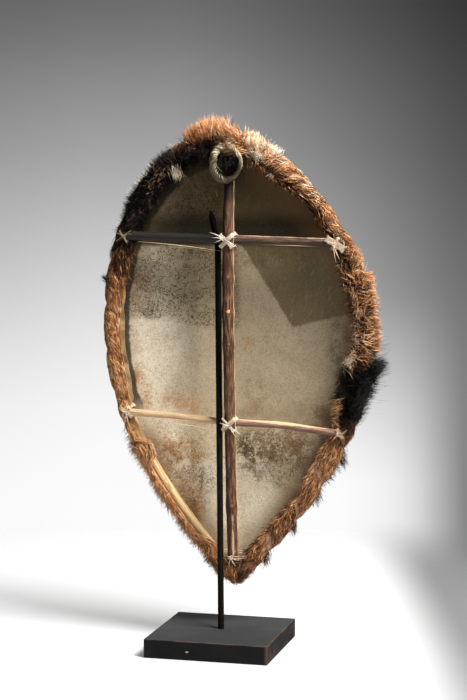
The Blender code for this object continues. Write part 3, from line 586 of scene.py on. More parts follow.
@dataclass(frozen=True)
class RawhideFinish:
    """Scraped parchment-like rawhide: mottled, stained and specked, with light and shade painted into its colour."""

    name: str
    pale: Colour = (0.93, 0.81, 0.60)
    tan: Colour = (0.53, 0.42, 0.26)
    brown: Colour = (0.24, 0.125, 0.055)
    olive: Colour = (0.165, 0.118, 0.044)
    shade_and_soot: Colour = (0.030, 0.024, 0.010)
    orange: Colour = (0.62, 0.30, 0.10)
    patch_corners: Pairs = ((0.037, 0.512), (0.096, 0.414), (0.190, 0.438))
    arc_ends: Pairs = ((-0.173, 0.430), (-0.020, 0.405))

    def spot(self, x: Reading, z: Reading, at: Pair, size: Pair) -> Reading:
        """1 at a place on the hide, fading out over an oval of this size."""
        off = ((x - at[0]) / size[0]) ** 2 + ((z - at[1]) / size[1]) ** 2
        return off.rise(1.0, 0.0)

    def above(self, x: Reading, z: Reading, start: Pair, end: Pair, soft: float) -> Reading:
        """1 on the upper side of the line from start to end, with an edge this soft."""
        run, climb = end[0] - start[0], end[1] - start[1]
        span = math.hypot(run, climb)
        return ((z - start[1]) * (run / span) - (x - start[0]) * (climb / span)).rise(-soft, soft)

    def made(self) -> Material:
        """The material."""
        recipe = Recipe(self.name)
        place = recipe.shield_place()
        x, _, z = recipe.parts(place)
        cloud = recipe.noise(place, 7, 5, 0.6)
        mottle = recipe.noise(place, 42, 6, 0.65, 0.4)
        grain = recipe.noise(place, 260, 5, 0.65)
        worm = (recipe.noise(place, 125, 2, 0.5, 1.8) - 0.5).size()
        face, ring = recipe.uv()
        holder = face.rise(1.6, 1.4)
        crumb = recipe.noise(place, 420, 3, 0.7)
        warped_x = x + (cloud - 0.5) * 0.05
        warped_z = z + (mottle - 0.5) * 0.05
        edged_x = x + (grain - 0.5) * 0.006
        edged_z = z + (mottle - 0.5) * 0.010 + (grain - 0.5) * 0.004
        # Painted light: paler at the left and low down, where the key light falls on the dished face.
        lit = warped_x.rise(-0.05, -0.12).most(warped_z.rise(0.23, 0.17) * x.rise(0.10, 0.03) * 0.85)
        colour = recipe.mix(lit.most(0.16), self.tan, self.pale)
        colour = recipe.mix(cloud.rise(0.40, 0.70) * 0.28, colour, self.tan)
        colour = recipe.mix(mottle.rise(0.50, 0.68) * 0.34, colour, self.tan)
        # Painted shadow: olive over the upper left, above an arc where the shadow of the upper rim and bar ends.
        over_arc = self.above(edged_x, edged_z, *self.arc_ends, 0.006) * x.rise(0.02, 0.0) * holder
        arc_shadow = (over_arc * (warped_z.rise(0.38, 0.50) * 0.45 + 0.12)).least(0.50)
        colour = recipe.mix(arc_shadow, colour, self.olive)
        patch = self.above(edged_x, edged_z, self.patch_corners[1], self.patch_corners[2], 0.003)
        patch = patch * self.above(edged_x, edged_z, self.patch_corners[1], self.patch_corners[0], 0.003).rise(1.0, 0.0)
        streak = recipe.noise(recipe.stretched(place, (1, 1, 0.12), math.radians(-24)), 330, 3, 0.6)
        colour = recipe.mix(patch * holder * (0.80 - streak.rise(0.56, 0.70) * 0.26), colour, self.olive)
        # Painted shade: olive over the upper part of the face, stronger on the side towards the holder.
        colour = recipe.mix(warped_z.rise(0.50, 0.62) * (holder * 0.35 + 0.25), colour, self.olive)
        for at, size, strength, tint in self.stains():
            mask = self.spot(warped_x, warped_z, at, size) * (mottle * 0.5 + grain * 0.5).rise(0.40, 0.58)
            colour = recipe.mix(mask * strength * (holder * 0.65 + 0.35), colour, tint)
        speckled = over_arc.most(self.spot(x, z, (0.07, 0.20), (0.10, 0.07)))
        speckled = speckled.most(self.spot(x, z, (-0.08, 0.17), (0.07, 0.11)) * 0.8).most(0.30)
        speck = worm.rise(0.055, 0.022) * mottle.rise(0.34, 0.50)
        colour = recipe.mix(speck * speckled * 0.86, colour, (0.085, 0.052, 0.021))
        colour = recipe.mix(crumb.rise(0.58, 0.66) * (speckled * 0.6 + 0.2), colour, (0.12, 0.065, 0.028))
        # Painted shadow: nearly black just above the upper bar, and darker over the top of the face, more at the right.
        above_bar_shade = edged_z.rise(0.612, 0.574) * z.rise(0.540, 0.548) * holder
        colour = recipe.mix((above_bar_shade * (0.78 + mottle * 0.5)).least(0.97), colour, self.shade_and_soot)
        colour = recipe.mix(warped_z.rise(0.590, 0.660) * (x.rise(-0.03, 0.03) * 0.30 + 0.12), colour, self.shade_and_soot)
        under_bar = z.rise(0.245, 0.262) * z.rise(0.30, 0.268) * x.rise(-0.13, -0.03) * holder
        colour = recipe.mix(under_bar * mottle * 0.6, colour, self.brown)
        # Painted shade: browner towards the binding, most at the right.
        edge = (ring + (mottle - 0.5) * 0.08).rise(0.72, 0.90) * (x.rise(-0.05, 0.08) * 0.35 + 0.30)
        colour = recipe.mix(edge, colour, self.brown)
        # Painted shade: a dark band in the crevice under the binding's inner edge at the left, on the side towards the
        # holder.
        crevice_shade = (ring + (mottle - 0.5) * 0.06).rise(0.846, 0.866) * x.rise(0.0, -0.05) * z.rise(0.26, 0.30)
        colour = recipe.mix(crevice_shade * holder * 0.88, colour, self.shade_and_soot)
        colour = recipe.mix(grain.rise(0.52, 0.66) * 0.22, colour, self.olive)
        height = cloud * 0.3 + mottle * 0.3 + grain * 0.3 + crumb * 0.1
        roughness = 0.46 + mottle * 0.22
        return recipe.done(colour, roughness, height, 0.0014, Specular_IOR_Level=0.22)

    def stains(self) -> tuple[tuple[Pair, Pair, float, Colour], ...]:
        """The hide's stains, dark spots and painted shade, each its place, size, strength and colour."""
        return (
            ((-0.160, 0.330), (0.014, 0.030), 0.85, self.orange),
            ((-0.146, 0.300), (0.014, 0.030), 0.85, self.orange),
            ((-0.089, 0.290), (0.040, 0.022), 0.60, self.orange),
            ((-0.098, 0.205), (0.050, 0.040), 0.95, self.orange),
            ((-0.072, 0.130), (0.032, 0.056), 1.00, self.orange),
            ((-0.120, 0.225), (0.022, 0.034), 0.60, self.orange),
            ((-0.059, 0.160), (0.005, 0.030), 0.80, self.brown),
            ((-0.069, 0.128), (0.007, 0.005), 0.95, self.brown),
            # A dark soft spot below the lower crossing, right of the upright.
            ((0.016, 0.214), (0.038, 0.042), 1.00, self.olive),
            ((0.016, 0.214), (0.030, 0.032), 0.85, self.shade_and_soot),
            ((0.070, 0.230), (0.066, 0.034), 0.85, self.brown),
            ((0.062, 0.216), (0.030, 0.020), 0.40, self.shade_and_soot),
            ((0.115, 0.215), (0.044, 0.050), 0.85, self.brown),
            ((0.060, 0.185), (0.050, 0.030), 0.50, self.brown),
            ((-0.150, 0.470), (0.030, 0.060), 0.50, self.brown),
            ((0.020, 0.383), (0.016, 0.040), 0.40, self.orange),
            ((0.046, 0.125), (0.045, 0.055), 0.90, (0.93, 0.83, 0.64)),
            ((0.030, 0.300), (0.026, 0.050), 0.30, self.brown),
            # Painted shade beside the right binding.
            ((0.183, 0.400), (0.028, 0.110), 0.60, self.olive),
            ((0.150, 0.270), (0.040, 0.050), 0.50, self.brown),
            ((0.040, 0.540), (0.120, 0.040), 0.50, self.olive),
        )


@dataclass(frozen=True)
class WoodFinish:
    """A peeled or barked stick, its grain along the piece."""

    name: str
    light: Colour
    dark: Colour
    roughness: float = 0.55
    streaks: float = 0.35

    def made(self) -> Material:
        """The material."""
        recipe = Recipe(self.name)
        grain, fibre, patch = recipe.wood(0.012, (0.06, 420, 0.6), (0.02, 1400, 0.6), (0.4, 70, 0.62))
        colour = recipe.mix(grain.rise(0.35, 0.7), self.light, self.dark)
        colour = recipe.mix(fibre.rise(0.5, 0.75) * self.streaks, colour, self.dark)
        height = grain * 0.5 + fibre * 0.3 + patch * 0.4
        return recipe.done(colour, self.roughness, height, 0.0006)


@dataclass(frozen=True)
class ThongFinish:
    """Dried rawhide thong: cream, with darker patches and fibre streaks, and painted shade below a height where one is
    given.
    """

    name: str
    pale: Colour = (0.78, 0.68, 0.52)
    tan: Colour = (0.45, 0.30, 0.17)
    roughness: float = 0.42
    # Painted shade: the colour darkens below this height, 0 for none.
    painted_shade_below: float = 0.0

    def made(self) -> Material:
        """The material."""
        recipe = Recipe(self.name)
        place = recipe.rolled(0.002)
        fibre = recipe.noise(recipe.stretched(place, (1, 1, 0.12)), 1500, 4, 0.6)
        patch = recipe.noise(recipe.place(), 150, 4, 0.6)
        whole = recipe.noise(recipe.stretched(place, (0, 0, 1)), 9, 1)
        colour = recipe.mix((patch + (whole - 0.5) * 0.9).rise(0.42, 0.7), self.pale, self.tan)
        colour = recipe.mix(fibre.rise(0.5, 0.8) * 0.5, colour, self.tan)
        # Painted shade: darker below the given height.
        if self.painted_shade_below:
            _, _, z = recipe.parts(recipe.shield_place())
            colour = recipe.mix(z.rise(self.painted_shade_below + 0.012, self.painted_shade_below - 0.010) * 0.92, colour, self.tan)
        return recipe.done(colour, self.roughness, fibre * 0.6 + patch * 0.4, 0.0004)


@dataclass(frozen=True)
class BlockFinish:
    """Black-stained block: charcoal with a fine tooth, its top face painted paler where light falls on it, and brown
    where its edges are rubbed.
    """

    name: str = "charcoal block"
    black: Colour = (0.009, 0.009, 0.0095)
    # Painted light: the top face is paler than the sides.
    top: Colour = (0.044, 0.044, 0.0445)
    rubbed: Colour = (0.115, 0.070, 0.045)
    chip: Colour = (0.45, 0.36, 0.27)

    def made(self, low: Vector, high: Vector) -> Material:
        """The material.

        Args:
            low: The block's lowest corner.
            high: Its highest corner.

        Returns:
            The material.
        """
        recipe = Recipe(self.name)
        place = recipe.place()
        x, y, z = recipe.parts(place)
        tooth = recipe.noise(place, 900, 3, 0.7)
        smear = recipe.noise(place, 26, 5, 0.6)
        scratch = recipe.noise(recipe.stretched(place, (1, 6, 1)), 60, 4, 0.7, 0.4)
        half = (high - low) / 2
        middle = (high + low) / 2
        from_right = high.x - x
        edge_x = from_right.least(x - low.x)
        edge_y = (high.y - y).least(y - low.y)
        edge_z = high.z - z
        near_xy = edge_x.most(edge_y)
        near_xz = edge_x.most(edge_z)
        near_yz = edge_y.most(edge_z)
        worn = near_xy.least(near_xz).least(near_yz)
        rub = (worn + (smear - 0.5) * 0.003).rise(0.0022, 0.0004) * smear.rise(0.40, 0.62)
        right_face = from_right.rise(0.002, 0.0005) * recipe.noise(place, 55, 4).rise(0.45, 0.62) * 0.3
        front_right = (from_right.most(y - low.y)).rise(0.006, 0.001) * 0.6
        colour = recipe.mix(smear.rise(0.3, 0.75) * 0.6, self.black, (0.014, 0.014, 0.0145))
        # Painted light: the top face paler than the sides.
        colour = recipe.mix(edge_z.rise(0.0006, 0.0002) * (smear * 0.5 + 0.6), colour, self.top)
        colour = recipe.mix(scratch.rise(0.64, 0.72) * 0.25, colour, (0.075, 0.072, 0.068))
        colour = recipe.mix(rub.most(right_face).most(front_right * smear.rise(0.3, 0.5)), colour, self.rubbed)
        chip_off = ((x - middle.x + half.x * 0.29) / 0.0030) ** 2 + ((z - middle.z + half.z * 0.1) / 0.0014) ** 2
        chip = (chip_off + (tooth - 0.5) * 1.2).rise(1.0, 0.6) * (y - low.y).rise(0.002, 0.001)
        colour = recipe.mix(chip, colour, self.chip)
        height = tooth * 0.5 + smear * 0.3 + scratch * 0.2
        return recipe.done(colour, 0.76 + tooth * 0.16, height, 0.00035, Specular_IOR_Level=0.06)


@dataclass(frozen=True)
class RodFinish:
    """Blackened iron rod: a faint brown bloom over black, with brush marks."""

    name: str = "blackened rod"
    black: Colour = (0.005, 0.004, 0.003)
    bloom: Colour = (0.018, 0.011, 0.006)

    def made(self) -> Material:
        """The material."""
        recipe = Recipe(self.name)
        place = recipe.rolled(0.005)
        bloom = recipe.noise(place, 120, 5, 0.65)
        brushed = recipe.noise(recipe.stretched(place, (1, 1, 0.1)), 900, 3)
        colour = recipe.mix(bloom.rise(0.45, 0.72) * 0.7, self.black, self.bloom)
        height = bloom * 0.6 + brushed * 0.4
        return recipe.done(colour, 0.50 + bloom * 0.25, height, 0.0002, Specular_IOR_Level=0.06)


# Modelling helpers


def deselect() -> None:
    """Deselects everything, because the frame's nodes are selected after loading."""
    bpy.ops.object.select_all(action="DESELECT")


def picked(*pieces: Piece) -> None:
    """Selects these pieces alone, with the first one active."""
    deselect()
    for piece in pieces:
        piece.select_set(True)
    bpy.context.view_layer.objects.active = pieces[0]


def mended(piece: Piece) -> None:
    """Merges a piece's doubled points and turns its faces outwards."""
    picked(piece)
    bpy.ops.object.mode_set(mode="EDIT")
    bpy.ops.mesh.select_all(action="SELECT")
    bpy.ops.mesh.remove_doubles(threshold=WELD)
    bpy.ops.mesh.normals_make_consistent(inside=False)
    bpy.ops.object.mode_set(mode="OBJECT")
    bpy.ops.object.shade_smooth_by_angle(angle=CREASE)


def laid(name: str, places: np.ndarray, uv: np.ndarray | None = None) -> Piece:
    """A grid of faces laid through a table of places, closed wherever its edges meet.

    Args:
        name: The piece's name.
        places: World places as rows, columns and coordinates.
        uv: The UV map's numbers at each place, or None for the grid's own.

    Returns:
        The piece.
    """
    rows, columns = places.shape[:2]
    deselect()
    bpy.ops.mesh.primitive_grid_add(x_subdivisions=columns - 1, y_subdivisions=rows - 1, size=1, calc_uvs=True)
    piece = bpy.context.object
    piece.name = piece.data.name = name
    mesh = piece.data
    flat = np.empty(len(mesh.vertices) * 3, np.float32)
    mesh.vertices.foreach_get("co", flat)
    flat = flat.reshape(-1, 3)
    column = np.rint((flat[:, 0] + 0.5) * (columns - 1)).astype(int)
    row = np.rint((flat[:, 1] + 0.5) * (rows - 1)).astype(int)
    mesh.vertices.foreach_set("co", places[row, column].astype(np.float32).ravel())
    if uv is not None:
        corner = np.empty(len(mesh.loops), np.int32)
        mesh.loops.foreach_get("vertex_index", corner)
        numbers = uv[row[corner], column[corner]].astype(np.float32)
        mesh.uv_layers[0].data.foreach_set("uv", numbers.ravel())
    mesh.uv_layers[0].name = "UVMap"
    mended(piece)
    return piece


def frames_along(path: np.ndarray) -> tuple[np.ndarray, np.ndarray]:
    """Two directions across a path at each point, the first towards the front at its start.

    Args:
        path: The path's points.

    Returns:
        The two directions at each point, which turn with the path as little as they can.
    """
    along = unit(np.gradient(path, axis=0))
    side = DEPTH
    sides = []
    for tangent in along:
        side = side - tangent * (side @ tangent)
        side = side / max(np.linalg.norm(side), 1e-9)
        sides.append(side)
    first = np.array(sides)
    return first, np.cross(along, first)


def capped(places: np.ndarray, uv: np.ndarray, tips: np.ndarray) -> tuple[np.ndarray, np.ndarray]:
    """A tube's rows of places and their UV map, with a row more at each end, drawn in to its tip."""
    ends = np.broadcast_to(tips[:, None, None], (2, 1, *places.shape[1:]))
    return np.concatenate([ends[0], places, ends[1]]), np.concatenate([uv[:1], uv, uv[-1:]])


def swept(
    name: str,
    path: np.ndarray,
    radius: Numbers,
    sides: int = 12,
    flatness: float = 1.0,
    closed: bool = False,
    uneven: Numbers = 1.0,
    start: float = 0.0,
) -> Piece:
    """A stick or thong along a path.

    Args:
        name: The piece's name.
        path: World points along its middle. A closed path repeats its first point at its end.
        radius: Its radius, or one for each point.
        sides: Faces around it.
        flatness: Its second radius over its first.
        closed: Whether it is a ring.
        uneven: A factor on the radius at each point and side.
        start: The UV map's length where the path begins, so that two strips don't look the same.

    Returns:
        The piece.
    """
    if closed:
        around = np.concatenate([path[-3:-1], path, path[1:3]])
        first, second = (table[2:-2] for table in frames_along(around))
        turn_back = math.atan2(float(first[-1] @ second[0]), float(first[-1] @ first[0]))
        angles = np.linspace(0, turn_back, len(path))[:, None]
        first, second = (
            first * np.cos(angles) - second * np.sin(angles),
            first * np.sin(angles) + second * np.cos(angles),
        )
    else:
        first, second = frames_along(path)
    angle = np.linspace(0, math.tau, sides + 1)
    wide = np.broadcast_to(np.asarray(radius, float), (len(path),))[:, None] * uneven
    wide = np.broadcast_to(wide, (len(path), sides + 1)).copy()
    wide[:, -1] = wide[:, 0]
    across = first[:, None] * (np.cos(angle) * wide)[..., None]
    across = across + second[:, None] * (np.sin(angle) * wide * flatness)[..., None]
    places = path[:, None] + across
    if closed:
        places[-1] = places[0]
    uv = together(angle / math.tau, measured(path)[:, None] + start)
    if not closed:
        places, uv = capped(places, uv, path[[0, -1]])
    return laid(name, places, uv)


def joined(name: str, pieces: list[Piece]) -> Piece:
    """The pieces as one."""
    picked(*pieces)
    bpy.ops.object.join()
    whole = bpy.context.object
    whole.name = whole.data.name = name
    return whole


def applied(piece: Piece, kind: str, **settings: object) -> None:
    """Adds a modifier to a piece and applies it."""
    picked(piece)
    modifier = piece.modifiers.new(kind.lower(), kind)
    for key, value in settings.items():
        setattr(modifier, key, value)
    bpy.ops.object.modifier_apply(modifier=modifier.name)


def curved(points: list[Triple], count: int) -> np.ndarray:
    """A smooth path through a few points, at this many points."""
    knots = np.array(points, float)
    lengths = measured(knots)
    at = np.linspace(0, lengths[-1], count)
    return np.stack([through(tuple(zip(lengths, column)), at) for column in knots.T], axis=1)


def dress(piece: Piece, finish: Material, slot: str, *nodes: str) -> None:
    """Gives a piece its finish and its body, and hides the frame's nodes that it stands for."""
    piece.data.materials.clear()
    piece.data.materials.append(finish)
    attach(piece, "root")
    if nodes:
        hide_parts(*nodes)
    log.info("%s: %d faces", piece.name, len(piece.data.polygons))


# Stand


@dataclass
class Stand:
    """The square block, and the leaning rod that is turned aside behind the upper bar."""

    block_height: float = 0.030
    rod_radius: float = 0.005
    socket_depth: float = 0.020
    lean: float = math.radians(1.7)
    tip_turn: float = math.radians(13)
    tip_length: float = 0.047
    point_length: float = 0.010
    knee: float = 0.004
    point_width: float = 0.3

    def build(self) -> None:
        """Dresses the block and makes the rod."""
        low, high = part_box("base_block")
        block = bpy.data.objects["base_block"]
        finish = BlockFinish().made(low, high)
        for slot in block.material_slots:
            slot.material = finish
        log.info("base_block: dressed as it is")
        self.rod()

    def rod(self) -> None:
        """The rod, as the frame has it, with a rounded bend and point."""
        climb = np.array((0, -math.sin(self.lean), math.cos(self.lean)))
        socket = np.array((0, 0, self.block_height))
        low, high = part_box("stand_rod")
        turned = climb * math.cos(self.tip_turn) - np.array((math.sin(self.tip_turn), 0, 0))
        halfway = unit(climb + turned)
        tip_rise = (turned * self.tip_length + halfway * self.rod_radius * 2)[2]
        bend = socket + climb * ((high.z - self.block_height - tip_rise) / climb[2])
        elbow = bend + halfway * self.rod_radius * 2
        straight = np.linspace(socket - climb * (self.socket_depth - GAP), bend - climb * self.knee, 60)
        knee = curved([straight[-1], (bend + elbow) / 2, elbow + turned * self.knee], 9)
        tip = elbow + turned * self.tip_length
        last = np.linspace(elbow + turned * self.knee * 1.5, tip, 16)
        path = np.concatenate([straight, knee[1:], last])
        to_tip = np.linalg.norm(path - tip, axis=1)
        taper = blend(self.point_width, 1.0, smooth(to_tip, 0, self.point_length))
        piece = swept("iron_rod", path, self.rod_radius * 0.995 * taper, 24)
        dress(piece, RodFinish().made(), "rod_black", "stand_rod")


# Sticks


@dataclass
class Hoop:
    """The bent stick of the rim, its two ends trimmed where they meet at the foot."""

    end_trim: float = 0.0098
    stations: int = 420
    sides: int = 20

    def build(self) -> None:
        """Makes the hoop."""
        lengths = np.linspace(self.end_trim, RIM.total - self.end_trim, self.stations)
        path = RIM.point(lengths)
        angle = np.linspace(0, math.tau, self.sides + 1)
        at = together(lengths[:, None], np.cos(angle) * 0.02, np.sin(angle) * 0.02)
        uneven = 0.965 + 0.03 * lumps(at, 40) + 0.02 * lumps(at, 160, 5)
        piece = swept("peeled_hoop", HANGING.world(path), HOOP_RADIUS, self.sides, uneven=uneven)
        dress(piece, HoopFinish().made(), "peeled_wood", "rim_hoop")


@dataclass(frozen=True)
class HoopFinish:
    """Straw-pale peeled wood at the lower left, and brown with old handling and dirt elsewhere."""

    name: str = "peeled hoop wood"
    straw: Colour = (0.90, 0.63, 0.31)
    tan: Colour = (0.50, 0.27, 0.11)
    grime: Colour = (0.13, 0.070, 0.035)

    def made(self) -> Material:
        """The material."""
        recipe = Recipe(self.name)
        x, _, z = recipe.parts(recipe.shield_place())
        grain, fibre, patch = recipe.wood(HOOP_RADIUS, (0.05, 420, 0.6), (0.02, 1400, 0.6), (0.3, 70, 0.62))
        colour = recipe.mix(grain.rise(0.40, 0.68), self.straw, self.tan)
        colour = recipe.mix(fibre.rise(0.5, 0.75) * 0.4, colour, self.tan)
        clean = (x + (patch - 0.5) * 0.04).rise(0.0, -0.03) * (z + (patch - 0.5) * 0.03).rise(0.29, 0.25)
        colour = recipe.mix((1 - clean) * 0.85, colour, self.grime)
        colour = recipe.mix(patch.rise(0.58, 0.70) * 0.6, colour, self.grime)
        height = grain * 0.5 + fibre * 0.3 + patch * 0.3
        return recipe.done(colour, 0.42 + grain * 0.2, height, 0.0006)


@dataclass
class Upright:
    """The split upright stick, bowed over both bars as the grip."""

    foot: float = 0.034
    top: float = 0.718
    foot_aside: float = -0.0012
    top_aside: float = 0.0125
    width: float = 0.018
    top_width: float = 0.014
    thickness: float = 0.012
    stations: int = 240
    sides: int = 28
    knots: tuple[float, ...] = (0.127, 0.393, 0.445, 0.500)
    knot_swell: float = 0.0013
    knot_spread: float = 0.010
    backs: Pairs = (
        (0.034, -0.0077),
        (LOWER_BAR_HEIGHT, -0.0200),
        (UPPER_BAR_HEIGHT, -0.0230),
        (0.705, -0.0077), (0.718, -0.0077),
    )

    def across(self, height: Numbers) -> np.ndarray:
        """Its place across the shield."""
        share = (np.asarray(height, float) - self.foot) / (self.top - self.foot)
        return blend(self.foot_aside, self.top_aside, share)

    def back(self, height: Numbers) -> np.ndarray:
        """The depth of its flat back."""
        return through(self.backs, np.asarray(height, float))

    def front(self, height: float, spread: float = 0.0) -> float:
        """The depth of its round side, at its furthest within this spread of the height."""
        heights = np.array((height - spread, height, height + spread))
        return float(self.back(heights).min()) - self.thickness

    def tilt(self) -> float:
        """Its angle from level."""
        return math.atan2(self.top - self.foot, self.top_aside - self.foot_aside)

    def build(self) -> None:
        """Makes the stick with its knots and its split back."""
        heights = np.linspace(self.foot, self.top, self.stations)
        angle = np.linspace(0, math.tau, self.sides + 1)
        round_side = np.clip(-np.sin(angle), 0, 1) ** 0.85
        share = np.sign(np.cos(angle)) * np.abs(np.cos(angle)) ** 0.8
        half = blend(self.width, self.top_width, smooth(heights, UPPER_BAR_HEIGHT, 0.698)) / 2
        swell = sum(self.knot_swell * np.exp(-(((heights - knot) / self.knot_spread) ** 2)) for knot in self.knots)
        at = together(share * 0.01, round_side * 0.01, heights[:, None])
        rough = 0.00045 * lumps(at * (1, 1, 0.35), 260) + 0.0004 * lumps(at, 70, 3)
        across = self.across(heights)[:, None] + (half + swell - 0.0003)[:, None] * share + rough * np.cos(angle)
        depth = self.back(heights)[:, None] - (self.thickness + swell)[:, None] * round_side + np.abs(rough) * 0.3
        depth = np.where(round_side > 0, depth - rough * 0.8 - 0.0002, depth - 0.0001)
        places = together(across, depth, heights[:, None])
        places[:, -1] = places[:, 0]
        uv = together(angle / math.tau, heights[:, None])
        places, uv = capped(places, uv, places[[0, -1]].mean(axis=1))
        piece = laid("upright_stick", HANGING.world(places), uv)
        dress(piece, UprightFinish(self.knots).made(), "dark_bark", "centre_stick")


@dataclass(frozen=True)
class UprightFinish:
    """Dark red-brown bark, black above the upper bar, with a painted rod shadow down its left, a pale split edge at the
    right and orange knots.
    """

    knots: tuple[float, ...]
    name: str = "dark bark"
    black: Colour = (0.008, 0.005, 0.004)
    brown: Colour = (0.052, 0.021, 0.011)
    light: Colour = (0.27, 0.13, 0.065)
    split: Colour = (0.66, 0.46, 0.27)
    knot: Colour = (0.80, 0.38, 0.12)
    bright_knot: int = 2

    def made(self) -> Material:
        """The material."""
        recipe = Recipe(self.name)
        around, height = recipe.uv()
        grain, fibre, patch = recipe.wood(0.009, (0.10, 420, 0.65), (0.03, 1200, 0.6), (0.5, 90, 0.6))
        colour = recipe.mix(grain.rise(0.42, 0.66), self.brown, self.light)
        colour = recipe.mix(patch.rise(0.45, 0.62) * 0.7, colour, self.brown)
        # Painted shadow of the rod: black down the stick's left side.
        left = (around + (patch - 0.5) * 0.05).rise(0.70, 0.62)
        colour = recipe.mix(left, colour, self.black)
        colour = recipe.mix((fibre * grain).rise(0.30, 0.38) * (1 - left) * 0.7, colour, self.light)
        colour = recipe.mix(height.rise(0.57, 0.65) * 0.92, colour, self.black)
        edge = (around + (patch - 0.5) * 0.05).rise(0.962, 0.975) * grain.rise(0.30, 0.50)
        back = around.rise(0.44, 0.40)
        colour = recipe.mix(edge.most(back) * (0.55 + fibre * 0.5), colour, self.split)
        for i, knot in enumerate(self.knots):
            off = ((height - knot - 0.004) / 0.0036) ** 2 + ((around - 0.79) / 0.042) ** 2 + (grain - 0.5) * 1.6
            colour = recipe.mix(off.rise(1.6, 1.0) * 0.7, colour, self.black)
            tint, strength = (self.knot, 1.0) if i == self.bright_knot else (self.light, 0.75)
            colour = recipe.mix(off.rise(1.0, 0.5) * strength, colour, tint)
        strip = (around - 0.80).size().rise(0.035, 0.015) * height.rise(0.040, 0.050) * height.rise(0.118, 0.108)
        colour = recipe.mix(strip * grain.rise(0.35, 0.5) * 0.8, colour, self.split)
        height_map = grain * 0.5 + fibre * 0.3 + patch * 0.3
        return recipe.done(colour, 0.52 + grain * 0.2, height_map, 0.0007, Specular_IOR_Level=0.25)


UPRIGHT = Upright()


@dataclass
class Bar:
    """A crossbar tied across the hoop."""

    name: str
    node: str
    slot: str
    height: float
    tilt: float
    radius: float
    bow: float = 0.0
    bow_place: float = 0.085
    bow_spread: float = 0.045
    over_hoop: float = 0.0070
    stations: int = 200
    sides: int = 20

    def depth(self) -> float:
        """The depth of its middle line, behind the hoop as the holder sees it."""
        return -(HOOP_RADIUS + GAP + self.radius)

    def along(self) -> np.ndarray:
        """Its direction."""
        return np.array((math.cos(self.tilt), 0, math.sin(self.tilt)))

    def middle(self) -> np.ndarray:
        """Where it passes behind the upright."""
        return np.array((float(UPRIGHT.across(self.height)), self.depth(), self.height))

    def end(self, side: Side) -> tuple[np.ndarray, float]:
        """Where it crosses the hoop on one side, and the hoop's length there."""
        middle = self.middle()
        length = RIM.crossing(middle, self.tilt, side)
        reach = float((RIM.point(length) - middle) @ self.along())
        return middle + self.along() * reach, length

    def build(self, finish: Material) -> None:
        """Makes the bar with its unevenness and knots."""
        start, end = (self.end(side)[0] + self.along() * self.over_hoop * side.value for side in Side)
        path = np.linspace(start, end, self.stations)
        path[:, 2] += self.bow * np.exp(-(((path[:, 0] - self.bow_place) / self.bow_spread) ** 2))
        angle = np.linspace(0, math.tau, self.sides + 1)
        span = np.linspace(0, float(np.linalg.norm(end - start)), self.stations)
        at = together(span[:, None], np.cos(angle) * 0.008, np.sin(angle) * 0.008)
        uneven = 0.935 + 0.04 * lumps(at, 45, self.height) + 0.03 * lumps(at * (0.3, 1, 1), 260, 7)
        piece = swept(self.name, HANGING.world(path), self.radius, self.sides, uneven=uneven)
        dress(piece, finish, self.slot, self.node)


@dataclass(frozen=True)
class BarFinish:
    """A stick that keeps its bark on one part and is peeled or split on another."""

    name: str
    bark: Colour
    bark_light: Colour
    peeled: Colour
    left_peeled: float
    edge_line: float

    def made(self, middle: np.ndarray, radius: float, tilt: float) -> Material:
        """The material.

        Args:
            middle: A point on the bar's middle line, in the shield's frame.
            radius: The bar's radius.
            tilt: Its angle from level.

        Returns:
            The material.
        """
        recipe = Recipe(self.name)
        place = recipe.shield_place()
        x, y, z = recipe.parts(place)
        rise = (z - float(middle[2]) - (x - float(middle[0])) * math.tan(tilt)) / radius
        grain, fibre, patch = recipe.wood(0.008, (0.08, 420, 0.65), (0.03, 1300, 0.6), (0.35, 110, 0.62))
        colour = recipe.mix(grain.rise(0.40, 0.66), self.bark, self.bark_light)
        ragged = (patch - 0.5) * 0.9 + (fibre - 0.5) * 0.4
        line = (rise + ragged * 0.8).rise(self.edge_line, self.edge_line + 0.10)
        under = (rise + ragged * 0.5).rise(-0.80, -0.90) * patch.rise(0.35, 0.5)
        right = x.rise(0.0, 0.02)
        colour = recipe.mix((line.most(under)) * right * 0.9, colour, self.peeled)
        left = x.rise(0.012, -0.004)
        wood = recipe.mix(grain.rise(0.4, 0.7), self.peeled, self.bark_light)
        bared = patch.rise(0.70 - self.left_peeled * 0.5, 0.74 - self.left_peeled * 0.5)
        colour = recipe.mix(left * bared, colour, wood)
        colour = recipe.mix(left * (1 - self.left_peeled) * 0.92, colour, (0.006, 0.004, 0.003))
        colour = recipe.mix(fibre.rise(0.52, 0.64) * 0.55, colour, recipe.shaded(colour, grain * 0.6))
        height = grain * 0.5 + fibre * 0.25 + patch * 0.35
        return recipe.done(colour, 0.50 + grain * 0.2, height, 0.0006)


UPPER_BAR = Bar("upper_bar", "upper_crossbar", "dark_bark", UPPER_BAR_HEIGHT, math.radians(-1.6), 0.0075)
LOWER_BAR = Bar("lower_bar", "lower_crossbar", "brown_bark", LOWER_BAR_HEIGHT, math.radians(-4.0), 0.0060, 0.0032)


